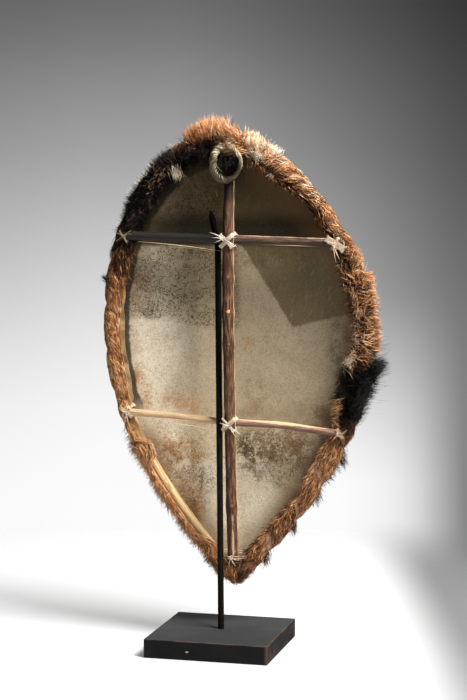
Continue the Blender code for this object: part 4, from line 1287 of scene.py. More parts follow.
@dataclass
class Splinters:
    """Slivers of split wood that lie along the bars."""

    radius: float = 0.0008
    stations: int = 24

    def build(self) -> None:
        """Makes the slivers at the left under both bars, and joins them in one piece."""
        routes = (
            ((-0.140, -0.0195, 0.5555), (-0.070, -0.0225, 0.5500), (-0.004, -0.0238, 0.5425)),
            ((-0.092, -0.0190, 0.5480), (-0.050, -0.0215, 0.5450), (-0.015, -0.0228, 0.5400)),
            ((-0.100, -0.0175, 0.2615), (-0.060, -0.0200, 0.2590), (-0.022, -0.0200, 0.2520)),
            ((-0.118, -0.0180, 0.2700), (-0.080, -0.0197, 0.2680), (-0.050, -0.0195, 0.2660)),
            ((0.060, -0.0190, 0.5520), (0.110, -0.0200, 0.5512), (0.150, -0.0195, 0.5500)),
        )
        pieces = []
        for i, route in enumerate(routes):
            path = curved(route, self.stations)
            thin = self.radius * (0.25 + np.sin(np.linspace(0.08, math.pi - 0.08, self.stations)))
            pieces.append(swept(f"sliver {i}", HANGING.world(path), thin, 6, 0.6))
        finish = WoodFinish("split wood", (0.80, 0.58, 0.36), (0.55, 0.34, 0.18))
        dress(joined("split_slivers", pieces), finish.made(), "peeled_wood")


# Rawhide face


@dataclass
class Hide:
    """The rawhide face, flat under the binding and domed away from the holder inside it."""

    back: float = 0.0119
    thickness: float = 0.003
    over_hoop: float = 0.005
    dome: float = 0.024
    bowl: float = 1.25
    flat_rim: float = 0.90
    warp: float = 0.0022
    stations: int = 240
    rings: int = 56
    middle: Pair = (0.004, 0.3605)

    def depth(self, places: np.ndarray, ring: np.ndarray) -> np.ndarray:
        """The depth of its back at each place.

        Args:
            places: Places in the shield's frame, on the plane of the hoop.
            ring: How far out each is, from 0 at the middle to 1 at the edge.

        Returns:
            The depth of each.
        """
        share = np.minimum(ring / self.flat_rim, 1.0)
        calm = (1 - share**2) ** self.bowl
        loose = np.minimum(1.0, 4 * calm**2)
        at = np.stack([places[..., 0], np.full(ring.shape, 0.3), places[..., 2]], axis=-1)
        warp = self.warp * lumps(at, 9.0) * loose
        dents = 0.0009 * lumps(at, 27, 4) * loose + 0.0004 * lumps(at, 75, 9) * loose
        return self.back + self.dome * calm + warp + dents

    def build(self) -> None:
        """Makes the face."""
        lengths = np.linspace(0, RIM.total, self.stations + 1)
        out = RIM.outward(lengths)
        out[0] = out[-1] = (0, 0, -1)
        edge = RIM.point(lengths) + out * self.over_hoop
        edge[-1] = edge[0]
        middle = np.array((self.middle[0], 0, self.middle[1]))
        ring = np.linspace(0, 1, self.rings) ** 0.9
        places = middle + (edge[None] - middle) * ring[:, None, None]
        places[..., 1] = self.depth(places, np.broadcast_to(ring[:, None], places.shape[:2]))
        piece = laid("rawhide_face", HANGING.world(places))
        applied(piece, "SOLIDIFY", thickness=self.thickness, offset=self.offset(piece))
        bpy.ops.object.shade_smooth_by_angle(angle=CREASE)
        self.mark_front(piece)
        dress(piece, RawhideFinish("scraped rawhide").made(), "rawhide", "hide_face")

    def mark_front(self, piece: Piece) -> None:
        """Moves the UV map of the faces on the front aside by 2, so that the finish can keep them plainer."""
        layer = piece.data.uv_layers["UVMap"].data
        for face in piece.data.polygons:
            if face.normal.y > 0:
                for corner in face.loop_indices:
                    layer[corner].uv.x += 2

    def offset(self, piece: Piece) -> float:
        """The Solidify offset that sends the wall away from the holder, by the way the faces point."""
        return 1.0 if piece.data.polygons[0].normal.y > 0 else -1.0


# Binding strip


@dataclass
class Strip:
    """The hairy hide strip round the hoop: its section at each length, and places and directions on it.

    A place on it is its length along the rim and its share across, from -1 at the edge on the holder's side
    over 0 on the outside to 1 at the edge on the front.
    """

    tie_places: tuple[float, ...]
    tie_room: float = 0.0119
    snug_room: float = 0.0083
    wall: float = 0.0016
    right_reach: Pairs = (
        (0.000, 0.012), (0.093, 0.014), (0.142, 0.009), (0.185, 0.018), (0.225, 0.015), (0.260, 0.011),
        (0.298, 0.021), (0.341, 0.023), (0.377, 0.016), (0.420, 0.010), (0.500, 0.010), (0.538, 0.005),
        (0.630, 0.006), (0.660, 0.016), (0.712, 0.019),
    )
    left_reach: Pairs = (
        (0.000, 0.012), (0.290, 0.018), (0.333, 0.022), (0.410, 0.021), (0.463, 0.019), (0.547, 0.018),
        (0.575, 0.022), (0.650, 0.020), (0.712, 0.019),
    )
    front_reach: float = 0.014
    bare_reach: float = -0.0035
    bare_heights: Pair = (0.050, 0.300)
    bare_fade: float = 0.035
    whole_wrap: Pair = (0.190, 0.222)
    wrap_fade: float = 0.010
    wrap_count: int = 24
    wrap_slant: float = 0.42
    wrap_swell: float = 0.0052
    front: float = 0.0156
    spacing: float = 0.0034
    columns: int = 37

    def __post_init__(self) -> None:
        """Works out the strip's tables."""
        self.rows = int(RIM.full / self.spacing) + 1
        self.lengths = np.linspace(0, RIM.full, self.rows)
        self.shares = np.linspace(-1, 1, self.columns)
        point, outward = RIM.point(self.lengths), RIM.outward(self.lengths)
        step = RIM.total / (self.wrap_count * 6)
        room = blend(self.tie_room, self.snug_room, smooth(self.from_tie(self.lengths), 0.006, 0.006 + step))
        limit = RIM.reach_limit(self.lengths)
        heights = RIM.height(self.lengths)
        reach = [np.interp(heights, *np.array(table).T) for table in (self.right_reach, self.left_reach)]
        reach = np.where(RIM.on_right(self.lengths), *reach)
        ragged = 0.0022 * lumps(np.stack([self.lengths, heights * 0, heights * 0 + 0.7], axis=-1), 55)
        reach = np.minimum(blend(reach + ragged, self.bare_reach, self.bare(self.lengths)), limit)
        rows = zip(room, reach, np.minimum(self.front_reach, limit))
        section = np.array([self.section(*row) for row in rows])
        for _ in range(2):
            section[:, 1:-1] = section[:, 1:-1] * 0.5 + section[:, :-2] * 0.25 + section[:, 2:] * 0.25
        across = np.gradient(section, axis=1)
        normal = unit(np.stack([across[..., 1], -across[..., 0]], axis=-1))
        self.normal = outward[:, None] * normal[..., :1] + DEPTH * normal[..., 1:]
        self.skin = point[:, None] + outward[:, None] * section[..., :1] + DEPTH * section[..., 1:]
        self.skin = self.skin + self.normal * self.lift()[..., None]
        self.span = np.maximum(np.linalg.norm(np.gradient(self.skin, self.shares, axis=1), axis=-1), 0.004)
        self.across = unit(np.gradient(self.skin, self.shares, axis=1))
        self.along = np.cross(self.across, self.normal)

    def section(self, room: float, reach: float, front_reach: float) -> np.ndarray:
        """One section of the strip, before its wraps swell.

        Args:
            room: How far the strip's inside is from the hoop's middle line.
            reach: How far inwards it reaches on the holder's side, less than 0 where it has drawn back.
            front_reach: How far inwards it reaches on the front.

        Returns:
            How far outwards and how deep it is at each column.
        """
        outer = room + self.wall
        under = ((outer * 0.75 - reach) / 2, -outer * 0.97) if reach < 0 else (0.2 * outer, -1.04 * outer)
        edge = min(-reach, 0.19 * outer) if reach > 0 else -reach
        inner = (outer, 0), (outer, -0.45 * outer), (0.75 * outer, -0.84 * outer), under, (edge, -room - self.wall / 2)
        front = (
            (outer, 0),
            (outer, 0.15 * self.front),
            (0.93 * outer, 0.8 * self.front),
            (0.005, self.front + self.wall),
            (-front_reach, self.front + self.wall / 2),
        )
        holder_side, front_side = (self.spread(np.array(path), self.columns // 2 + 1) for path in (inner, front))
        return np.concatenate([holder_side[:0:-1], front_side])

    def spread(self, path: np.ndarray, count: int) -> np.ndarray:
        """Points at even spacing along a broken line."""
        lengths = measured(path)
        return traced(np.linspace(0, lengths[-1], count), lengths, path)

    def from_tie(self, length: np.ndarray) -> np.ndarray:
        """How far each length is from the nearest tie."""
        off = np.abs(length[:, None] - np.array(self.tie_places))
        return np.minimum(off, RIM.full - off).min(axis=1)

    def bare(self, length: np.ndarray) -> np.ndarray:
        """1 at the lower left, where the strip has drawn back from the hoop, but not at its one whole wrap."""
        point = RIM.point(length)
        low, high = self.bare_heights
        height = point[:, 2]
        rising = smooth(height, low, low + self.bare_fade) * (1 - smooth(height, high - self.bare_fade, high))
        bottom, top = self.whole_wrap
        wrap = smooth(height, bottom, bottom + self.wrap_fade) * (1 - smooth(height, top, top + self.wrap_fade))
        return np.where(point[:, 0] < 0, rising * (1 - wrap), 0)

    def phase(self, length: np.ndarray, share: np.ndarray) -> np.ndarray:
        """How far through its wrap each place is, from one seam to the next."""
        return np.mod(length / RIM.total * self.wrap_count + share * self.wrap_slant, 1)

    def lift(self) -> np.ndarray:
        """How far the strip stands off its section, in wraps pinched at their seams."""
        phase = self.phase(self.lengths[:, None], self.shares[None])
        swell = 1 - np.abs(2 * phase - 1) ** 4
        at = together(self.lengths[:, None], self.shares[None] * 0.03, 2.5)
        uneven = 0.0007 * lumps(at, 60)
        return (self.wrap_swell * swell + uneven) * (1 - 0.5 * np.abs(self.shares)[None]) * self.eased()

    def eased(self) -> np.ndarray:
        """1 along the strip, and less near the ties, where it stands off the hoop already."""
        return (0.25 + 0.75 * smooth(self.from_tie(self.lengths), 0.010, 0.028))[:, None]

    def read(self, table: np.ndarray, length: np.ndarray, share: np.ndarray) -> np.ndarray:
        """A table's value at places on the strip, worked out between its rows and columns."""
        row = np.mod(length, RIM.full) / RIM.full * (self.rows - 1)
        column = (np.clip(share, -1, 1) + 1) / 2 * (self.columns - 1)
        i, j = np.minimum(row.astype(int), self.rows - 2), np.minimum(column.astype(int), self.columns - 2)
        down, over = row - i, column - j
        if table.ndim == 3:
            down, over = down[..., None], over[..., None]
        top = table[i, j] * (1 - over) + table[i, j + 1] * over
        low = table[i + 1, j] * (1 - over) + table[i + 1, j + 1] * over
        return top * (1 - down) + low * down


@dataclass(frozen=True)
class Coat:
    """How the hair lies and looks at one height of one side. Tones are shares of the hair's range."""

    height: float
    tone: float
    inner_tone: float
    spread: float
    upward: float
    outward: float
    length: float
    lift: float
    pale: float


RIGHT_COAT = (
    Coat(0.000, 0.40, 0.34, 0.14, -0.3, 0.9, 0.011, 0.12, 0.20),
    Coat(0.060, 0.50, 0.42, 0.17, -0.9, 0.35, 0.014, 0.08, 0.34),
    Coat(0.200, 0.50, 0.42, 0.17, -0.9, 0.30, 0.014, 0.08, 0.34),
    Coat(0.255, 0.40, 0.30, 0.18, -0.9, 0.30, 0.013, 0.10, 0.28),
    Coat(0.285, 0.05, 0.05, 0.04, -0.3, 0.70, 0.016, 0.14, 0.02),
    Coat(0.355, 0.05, 0.08, 0.05, 0.1, 0.80, 0.018, 0.18, 0.04),
    Coat(0.378, 0.54, 0.16, 0.24, -0.2, 0.90, 0.015, 0.34, 0.44),
    Coat(0.490, 0.54, 0.12, 0.24, -0.3, 0.85, 0.015, 0.34, 0.44),
    Coat(0.525, 0.52, 0.12, 0.20, -0.7, 0.55, 0.014, 0.20, 0.34),
    Coat(0.580, 0.68, 0.22, 0.18, -0.9, 0.35, 0.014, 0.08, 0.34),
    Coat(0.665, 0.68, 0.22, 0.18, -0.9, 0.40, 0.015, 0.10, 0.44),
    Coat(0.700, 0.66, 0.36, 0.17, -0.6, 0.60, 0.016, 0.18, 0.50),
    Coat(0.712, 0.58, 0.24, 0.18, -0.5, 0.50, 0.015, 0.16, 0.40),
)
LEFT_COAT = (
    Coat(0.000, 0.46, 0.38, 0.12, -0.3, 0.9, 0.012, 0.22, 0.14),
    Coat(0.060, 0.54, 0.50, 0.11, -0.7, 0.50, 0.015, 0.36, 0.10),
    Coat(0.190, 0.56, 0.54, 0.11, -0.6, 0.50, 0.015, 0.34, 0.10),
    Coat(0.250, 0.58, 0.56, 0.09, -0.8, -0.20, 0.012, 0.10, 0.06),
    Coat(0.300, 0.60, 0.58, 0.08, -0.8, -0.45, 0.011, 0.03, 0.06),
    Coat(0.450, 0.60, 0.58, 0.08, -0.8, -0.45, 0.011, 0.03, 0.07),
    Coat(0.480, 0.46, 0.40, 0.13, -0.7, -0.40, 0.012, 0.07, 0.06),
    Coat(0.535, 0.34, 0.28, 0.13, -0.7, -0.20, 0.013, 0.10, 0.12),
    Coat(0.570, 0.20, 0.16, 0.11, -0.6, 0.20, 0.013, 0.10, 0.10),
    Coat(0.595, 0.03, 0.02, 0.03, -0.6, 0.20, 0.014, 0.10, 0.10),
    Coat(0.660, 0.03, 0.02, 0.03, -0.4, 0.40, 0.015, 0.13, 0.12),
    Coat(0.680, 0.06, 0.03, 0.06, 0.0, 0.60, 0.015, 0.16, 0.16),
    Coat(0.696, 0.54, 0.06, 0.13, 0.4, 0.80, 0.016, 0.20, 0.30),
    Coat(0.712, 0.50, 0.06, 0.13, -0.5, 0.60, 0.015, 0.14, 0.20),
)


@dataclass(frozen=True)
class Tuft:
    """A lock of longer hair that stands off the strip and draws to a point.

    Its place is across and up in the shield's frame, and its share is how far over the strip it grows.
    """

    place: Pair
    share: float
    spread: float
    count: int
    length: float
    towards: Triple
    tone: float
    variety: float = 0.05
    width: float = 0.00075
    draw: float = 0.45


TUFTS = (
    # The black mass at the right, and its long stray hairs
    Tuft((0.200, 0.318), -0.35, 0.044, 900, 0.024, (0.70, -0.45, 0.45), 0.02, 0.02),
    Tuft((0.214, 0.352), -0.05, 0.020, 420, 0.034, (0.85, -0.05, 0.52), 0.03, 0.03, 0.0009, 0.8),
    Tuft((0.205, 0.330), -0.10, 0.040, 380, 0.020, (0.95, -0.05, -0.10), 0.03, 0.03),
    Tuft((0.196, 0.310), -0.92, 0.050, 420, 0.015, (-0.75, -0.30, -0.45), 0.06, 0.05, 0.0007, 0.1),
    Tuft((0.196, 0.299), -0.45, 0.030, 450, 0.020, (0.55, -0.60, -0.35), 0.03, 0.03),
    Tuft((0.215, 0.345), -0.05, 0.050, 60, 0.052, (0.90, -0.05, 0.10), 0.05, 0.04, 0.00032, 0.0),
    # Its pale clumps
    Tuft((0.205, 0.372), -0.97, 0.016, 120, 0.014, (-0.55, -0.45, -0.60), 0.86, 0.07, 0.0006, 0.6),
    Tuft((0.190, 0.292), -0.95, 0.020, 170, 0.018, (-0.80, -0.35, -0.20), 0.60, 0.22, 0.0005, 0.5),
    Tuft((0.180, 0.270), -0.95, 0.014, 90, 0.013, (-0.50, -0.35, 0.60), 0.56, 0.16, 0.0006, 0.4),
    # The lower right
    Tuft((0.168, 0.215), 0.05, 0.016, 70, 0.024, (0.45, -0.05, -0.88), 0.14, 0.10, 0.0007, 0.5),
    Tuft((0.160, 0.190), 0.05, 0.040, 120, 0.012, (0.75, -0.10, -0.62), 0.22, 0.10, 0.0006, 0.0),
    Tuft((0.128, 0.150), 0.05, 0.014, 60, 0.018, (0.30, -0.10, -0.93), 0.28, 0.12, 0.0007, 0.5),
    Tuft((0.090, 0.100), 0.05, 0.012, 70, 0.019, (0.25, -0.05, -0.95), 0.20, 0.10, 0.0007, 0.5),
    Tuft((0.042, 0.048), 0.05, 0.014, 90, 0.020, (0.30, -0.05, -0.93), 0.26, 0.12, 0.0007, 0.4),
    # The red fringe at the right
    Tuft((0.217, 0.420), -0.05, 0.050, 420, 0.018, (0.95, -0.15, -0.10), 0.50, 0.19, 0.0008, 0.1),
    Tuft((0.217, 0.400), -0.75, 0.060, 260, 0.014, (-0.60, -0.60, 0.30), 0.66, 0.20, 0.0006, 0.2),
    Tuft((0.214, 0.450), -0.75, 0.060, 260, 0.014, (0.10, -0.75, -0.50), 0.56, 0.22, 0.0006, 0.3),
    Tuft((0.214, 0.470), -0.05, 0.030, 280, 0.017, (0.90, -0.20, 0.20), 0.52, 0.16, 0.0008, 0.2),
    Tuft((0.205, 0.495), 0.00, 0.010, 160, 0.020, (0.95, -0.05, 0.10), 0.46, 0.16, 0.0008, 0.5),
    Tuft((0.196, 0.535), 0.00, 0.018, 200, 0.015, (0.90, -0.10, -0.30), 0.52, 0.16, 0.0008, 0.3),
    # The left, from its small black tuft to the crown
    Tuft((-0.190, 0.488), 0.05, 0.006, 60, 0.014, (-0.80, -0.05, 0.60), 0.05, 0.04, 0.0007, 0.7),
    Tuft((-0.082, 0.676), -0.92, 0.012, 150, 0.018, (0.35, -0.55, -0.75), 0.90, 0.06, 0.0007, 0.5),
    Tuft((-0.095, 0.655), -0.55, 0.040, 70, 0.011, (-0.45, -0.60, -0.50), 0.70, 0.14, 0.00036, 0.0),
    Tuft((-0.100, 0.662), 0.05, 0.030, 200, 0.012, (-0.70, -0.05, 0.70), 0.05, 0.06, 0.0007, 0.1),
    Tuft((-0.125, 0.640), 0.05, 0.050, 200, 0.014, (-0.80, -0.05, 0.55), 0.92, 0.08, 0.00040, 0.0),
    Tuft((-0.150, 0.610), 0.00, 0.040, 240, 0.012, (-0.80, -0.20, 0.30), 0.04, 0.04, 0.0008, 0.0),
    # The crown's mound: red at the left over its black underside, cream at the right
    Tuft((-0.040, 0.704), -0.75, 0.026, 380, 0.020, (-0.15, -0.70, -0.45), 0.03, 0.03, 0.0009, 0.1),
    Tuft((-0.036, 0.706), -0.15, 0.018, 420, 0.022, (-0.45, -0.45, 0.75), 0.52, 0.12, 0.0009, 0.2),
    Tuft((-0.022, 0.710), -0.20, 0.018, 520, 0.029, (-0.20, -0.45, 0.88), 0.54, 0.15, 0.0009, 0.3),
    Tuft((-0.004, 0.712), -0.15, 0.018, 520, 0.030, (-0.10, -0.45, 0.90), 0.56, 0.16, 0.0009, 0.3),
    Tuft((0.014, 0.712), -0.30, 0.018, 520, 0.025, (-0.30, -0.70, 0.62), 0.56, 0.17, 0.0009, 0.2),
    Tuft((0.024, 0.711), -0.70, 0.020, 420, 0.022, (-0.55, -0.80, 0.05), 0.62, 0.15, 0.0009, 0.2),
    Tuft((0.010, 0.712), -0.95, 0.030, 520, 0.044, (0.04, -0.30, -0.94), 0.06, 0.06, 0.0009, 0.0),
    Tuft((-0.014, 0.710), -0.90, 0.030, 260, 0.026, (-0.30, -0.45, -0.80), 0.10, 0.12, 0.0009, 0.0),
    Tuft((0.048, 0.704), -0.20, 0.022, 420, 0.018, (0.25, -0.50, 0.75), 0.82, 0.12, 0.0008, 0.2),
    Tuft((0.060, 0.698), -0.60, 0.016, 160, 0.014, (0.45, -0.75, 0.20), 0.92, 0.06, 0.0007, 0.4),
    Tuft((0.078, 0.688), -0.05, 0.012, 130, 0.016, (0.55, -0.25, 0.80), 0.88, 0.08, 0.0007, 0.4),
    # Over the ties
    Tuft((0.158, 0.602), -0.35, 0.014, 260, 0.020, (0.45, -0.35, -0.82), 0.54, 0.16),
    Tuft((0.188, 0.560), -0.05, 0.014, 220, 0.018, (0.55, -0.40, -0.70), 0.46, 0.16),
    Tuft((-0.166, 0.592), -0.45, 0.016, 260, 0.020, (-0.25, -0.40, -0.85), 0.10, 0.10),
    Tuft((-0.185, 0.545), -0.10, 0.016, 220, 0.016, (-0.20, -0.50, -0.85), 0.30, 0.14),
    Tuft((0.180, 0.278), -0.40, 0.014, 260, 0.018, (-0.10, -0.50, -0.86), 0.24, 0.14),
    Tuft((0.022, 0.032), -0.35, 0.014, 320, 0.020, (-0.45, -0.60, -0.65), 0.34, 0.16),
    Tuft((-0.018, 0.030), -0.30, 0.014, 320, 0.020, (0.35, -0.60, -0.70), 0.38, 0.18),
    # The ragged fringe at the lower left
    Tuft((-0.155, 0.215), 0.00, 0.040, 220, 0.016, (-0.75, -0.20, -0.60), 0.54, 0.12, 0.0008, 0.1),
    Tuft((-0.120, 0.150), 0.00, 0.050, 300, 0.015, (-0.75, -0.25, -0.60), 0.52, 0.12, 0.0008, 0.1),
    Tuft((-0.070, 0.090), 0.00, 0.050, 300, 0.016, (-0.70, -0.25, -0.65), 0.50, 0.14, 0.0008, 0.1),
    Tuft((-0.030, 0.045), 0.00, 0.040, 260, 0.016, (-0.60, -0.30, -0.70), 0.42, 0.16, 0.0008, 0.1),
)


class Fleece:
    """Hair for one stretch of the strip: copies of one strand, laid as one mesh."""

    RINGS = 3
    MOST_RIGHT = 0.263
    CLUMP_LENGTH, CLUMP_SHARE = 0.0055, 0.16
    SEAM_ROOM, PINCHED_ROOM, PINCHED_SHARE = 0.030, 0.072, 0.2
    FRINGE_PART, LOCK_PART, OVER_SEAM_PART = 0.16, 0.16, 0.85
    EDGE_SHARE, SHARE_RANGE, MOST_SHARE = 0.82, 1.85, 0.88

    def __init__(self, strip: Strip, seed: int) -> None:
        """Starts an empty fleece.

        Args:
            strip: The strip that the hair grows on.
            seed: The seed of its random draws.
        """
        self.strip = strip
        self.random = np.random.default_rng(seed)
        self.points, self.faces = self.strand()
        self.paths: list[np.ndarray] = []
        self.sides: list[np.ndarray] = []
        self.widths: list[np.ndarray] = []
        self.tones: list[np.ndarray] = []

    def strand(self) -> tuple[np.ndarray, list[list[int]]]:
        """One straight strand, one long and one wide: a three-sided cone cut into lengths.

        Returns:
            Its points, with Z from 0 to 1, and its faces.
        """
        deselect()
        bpy.ops.mesh.primitive_cone_add(vertices=3, radius1=1, radius2=0, depth=1, location=(0, 0, 0.5))
        cone = bpy.context.object
        bpy.ops.object.transform_apply(location=True, rotation=False, scale=False)
        for i in range(1, self.RINGS - 1):
            bpy.ops.object.mode_set(mode="EDIT")
            bpy.ops.mesh.select_all(action="SELECT")
            bpy.ops.mesh.bisect(plane_co=(0, 0, i / (self.RINGS - 1)), plane_no=(0, 0, 1))
            bpy.ops.object.mode_set(mode="OBJECT")
        points = np.array([vertex.co[:] for vertex in cone.data.vertices])
        faces = [list(polygon.vertices) for polygon in cone.data.polygons]
        bpy.data.objects.remove(cone, do_unlink=True)
        taper = 1 - points[:, 2]
        fuller = np.where(taper > 0.01, (1 - points[:, 2] ** 2.5) / np.maximum(taper, 0.01), 0)
        points[:, :2] *= fuller[:, None] * 0.5
        return points, faces

    def coat(self, length: np.ndarray, name: str) -> np.ndarray:
        """One of the coat's values at each length, on the side that the length is on."""
        height = RIM.height(length)
        tables = []
        for coats in (RIGHT_COAT, LEFT_COAT):
            rows = [(coat.height, getattr(coat, name)) for coat in coats]
            tables.append(np.interp(height, *np.array(rows).T))
        return np.where(RIM.on_right(length), *tables)

    def tone(self, length: np.ndarray, share: np.ndarray) -> np.ndarray:
        """The hair's tone at each place."""
        outside = smooth(share, -self.EDGE_SHARE, -0.05)
        return blend(self.coat(length, "inner_tone"), self.coat(length, "tone"), outside)

    def pinched(self, length: np.ndarray) -> np.ndarray:
        """Where bare skin shows in the strip's seams: at the lower right."""
        return RIM.on_right(length) & (RIM.height(length) < 0.25)

    def rooted(self, start: float, end: float, count: int) -> tuple[np.ndarray, ...]:
        """Draws the places where hair grows.

        Args:
            start: Where the stretch starts.
            end: Where it ends.
            count: How many strands to draw, before those in the strip's seams are left out.

        Returns:
            Each one's length and share, whether it is in the fringe at the holder's edge, and whether it is where
            that edge is smooth.
        """
        random = self.random
        length = random.uniform(start, end, count)
        share = random.beta(1.15, 1.5, count) * self.SHARE_RANGE - 0.97
        phase = self.strip.phase(length, share)
        off_seam = np.minimum(phase, 1 - phase) + random.uniform(0, 0.03, count)
        pinched = self.pinched(length) & (share < self.PINCHED_SHARE)
        kept = off_seam > np.where(pinched, self.PINCHED_ROOM, self.SEAM_ROOM)
        length, share = length[kept], share[kept]
        level = RIM.height(length)
        smooth_edge = ~RIM.on_right(length) & (level < 0.50)
        fringe = (random.random(len(length)) < self.FRINGE_PART) & ~smooth_edge
        share = np.where(fringe, random.uniform(-1.0, -self.EDGE_SHARE, len(length)), share)
        edge_room = 0.15 * smooth_edge * smooth(level, 0.255, 0.28) * smooth(level, 0.50, 0.44)
        return length, share + edge_room * (self.MOST_SHARE - share) / self.SHARE_RANGE, fringe, smooth_edge

    def lay(self, start: float, end: float, count: int) -> None:
        """Lays combed hair between two lengths of the rim, in clumps.

        Args:
            start: Where the stretch starts.
            end: Where it ends.
            count: How many strands to draw.
        """
        random = self.random
        length, share, fringe, smooth_edge = self.rooted(start, end, count)
        count = len(length)
        level, on_right = RIM.height(length), RIM.on_right(length)
        clump_l, clump_s = np.floor(length / self.CLUMP_LENGTH), np.floor(share / self.CLUMP_SHARE)
        draw = scattered(clump_l * 92821 + clump_s * 68917, 43758.5453, (0.61, 1.37, 2.11, 3.03))
        to_l = (clump_l + 0.5 + draw[0] * 0.8) * self.CLUMP_LENGTH - length
        to_s = (clump_s + 0.5 + draw[1] * 0.8) * self.CLUMP_SHARE - share
        wrap = np.floor(length / RIM.total * self.strip.wrap_count + share * self.strip.wrap_slant)
        turned = scattered(wrap, 4375.85, (1.7, 2.9, 4.3))
        loose = 0.10 + 1.0 * self.coat(length, "lift")
        upward, outward = (
            self.coat(length, name) + (draw[2 + i] * 4 + turned[i] * 3 + random.normal(0, 1, count)) * loose
            for i, name in enumerate(("upward", "outward"))
        )
        outward = np.where(smooth_edge, outward * smooth(share, -0.75, -0.40), outward)
        along = np.where(on_right, upward, -upward)
        norm = np.hypot(along, outward) + 1e-6
        along, outward = along / norm, np.where(fringe, -np.abs(outward) * 0.8, outward) / norm
        lock = random.random(count) < self.LOCK_PART
        reach = self.coat(length, "length") * random.uniform(0.9, 1.75, count) * np.where(fringe, 0.6, 1)
        lift = self.coat(length, "lift") * random.uniform(0.3, 1.7, count) * (1 + draw[0])
        span = self.strip.read(self.strip.span, length, share)
        knots = np.linspace(0, 1, self.RINGS)[None]
        at_l = length[:, None] + (along * reach)[:, None] * knots + to_l[:, None] * knots * 0.75
        at_s = share[:, None] + (outward * reach / span)[:, None] * knots + to_s[:, None] * knots * 0.75
        path, normal = self.on_strip(at_l, at_s)
        rise = GAP + (np.where(lock, 0.0006, 0) + lift * reach)[:, None] * knots**1.2
        rise = rise + 0.0005 * np.sin(knots * math.pi)
        path = path + normal * rise[..., None]
        tone = self.tone(length, share + draw[1] * 0.7) * (1 + turned[2] * 0.30) + draw[2] * 0.22
        tone = tone + random.normal(0, 1, count) * self.coat(length, "spread") * np.where(lock, 1.5, 0.9)
        pale = random.random(count) < self.coat(length, "pale") * 0.5
        tone = np.where(pale, tone + random.uniform(0.10, 0.30, count), tone)
        tone = np.minimum(tone, np.where(level > 0.62, 0.96, 0.76))
        side = unit(np.cross(np.gradient(path, axis=1), normal))
        width = np.where(lock, random.uniform(0.0012, 0.0021, count), random.uniform(0.0006, 0.0010, count))
        run = np.linalg.norm(np.diff(path, axis=1), axis=-1).sum(axis=1)
        kept = run < reach * 1.8 + 0.004
        tip_phase = self.strip.phase(at_l[:, -1], at_s[:, -1])
        over_seam = np.abs(tip_phase - self.strip.phase(length, share)) > 0.5
        over_seam |= np.minimum(tip_phase, 1 - tip_phase) < self.SEAM_ROOM
        pinched = self.pinched(length) & (share < self.PINCHED_SHARE)
        kept &= ~(over_seam & pinched & (random.random(count) < self.OVER_SEAM_PART))
        self.keep(path[kept], side[kept], width[kept], tone[kept])

    def on_strip(self, length: np.ndarray, share: np.ndarray) -> tuple[np.ndarray, np.ndarray]:
        """Places and normals on the strip, carried straight on past its edges."""
        inside = np.clip(share, -1, 1)
        skin = self.strip.read(self.strip.skin, length, inside)
        normal = unit(self.strip.read(self.strip.normal, length, inside))
        across = self.strip.read(self.strip.across, length, inside)
        beyond = (share - inside) * self.strip.read(self.strip.span, length, inside)
        return skin + across * beyond[..., None], normal

    def tuft(self, tuft: Tuft) -> None:
        """Lays one tuft, its strands drawn together towards their tips."""
        random = self.random
        middle = RIM.nearest(tuft.place)
        length = middle + random.normal(0, tuft.spread * 0.5, tuft.count)
        share = tuft.share + random.normal(0, 0.14, tuft.count)
        root, normal = self.on_strip(length, share)
        centre, _ = self.on_strip(np.array([middle]), np.array([tuft.share]))
        towards = unit(np.array(tuft.towards)[None] + random.normal(0, 0.22, (tuft.count, 3)))
        reach = tuft.length * random.uniform(0.5, 1.15, tuft.count)[:, None]
        tip = root + towards * reach + (centre - root) * tuft.draw * random.uniform(0.5, 1.0, tuft.count)[:, None]
        lean = root + normal * reach * 0.22 + (tip - root) * 0.45
        knots = np.linspace(0, 1, self.RINGS)[None, :, None]
        path = root[:, None] * (1 - knots) ** 2 + lean[:, None] * 2 * knots * (1 - knots) + tip[:, None] * knots**2
        facing = unit(random.normal(0, 0.5, (tuft.count, 1, 3)) + np.array((0.2, -1, 0.1)))
        side = unit(np.cross(np.gradient(path, axis=1), facing))
        tone = tuft.tone + random.normal(0, tuft.variety, tuft.count)
        self.keep(path, side, tuft.width * random.uniform(0.7, 1.2, tuft.count), tone)

    def keep(self, path: np.ndarray, side: np.ndarray, width: np.ndarray, tone: np.ndarray) -> None:
        """Keeps strands for the mesh, shortened where they would stand out too far at the right."""
        root = path[:, :1]
        out = (path[..., 0] - root[..., 0]).max(axis=1)
        room = np.maximum(self.MOST_RIGHT - root[:, 0, 0], 0.002)
        path = root + (path - root) * np.minimum(1, room / np.maximum(out, 1e-6))[:, None, None]
        self.paths.append(path)
        self.sides.append(side)
        self.widths.append(width)
        self.tones.append(np.clip(tone, 0, 1))

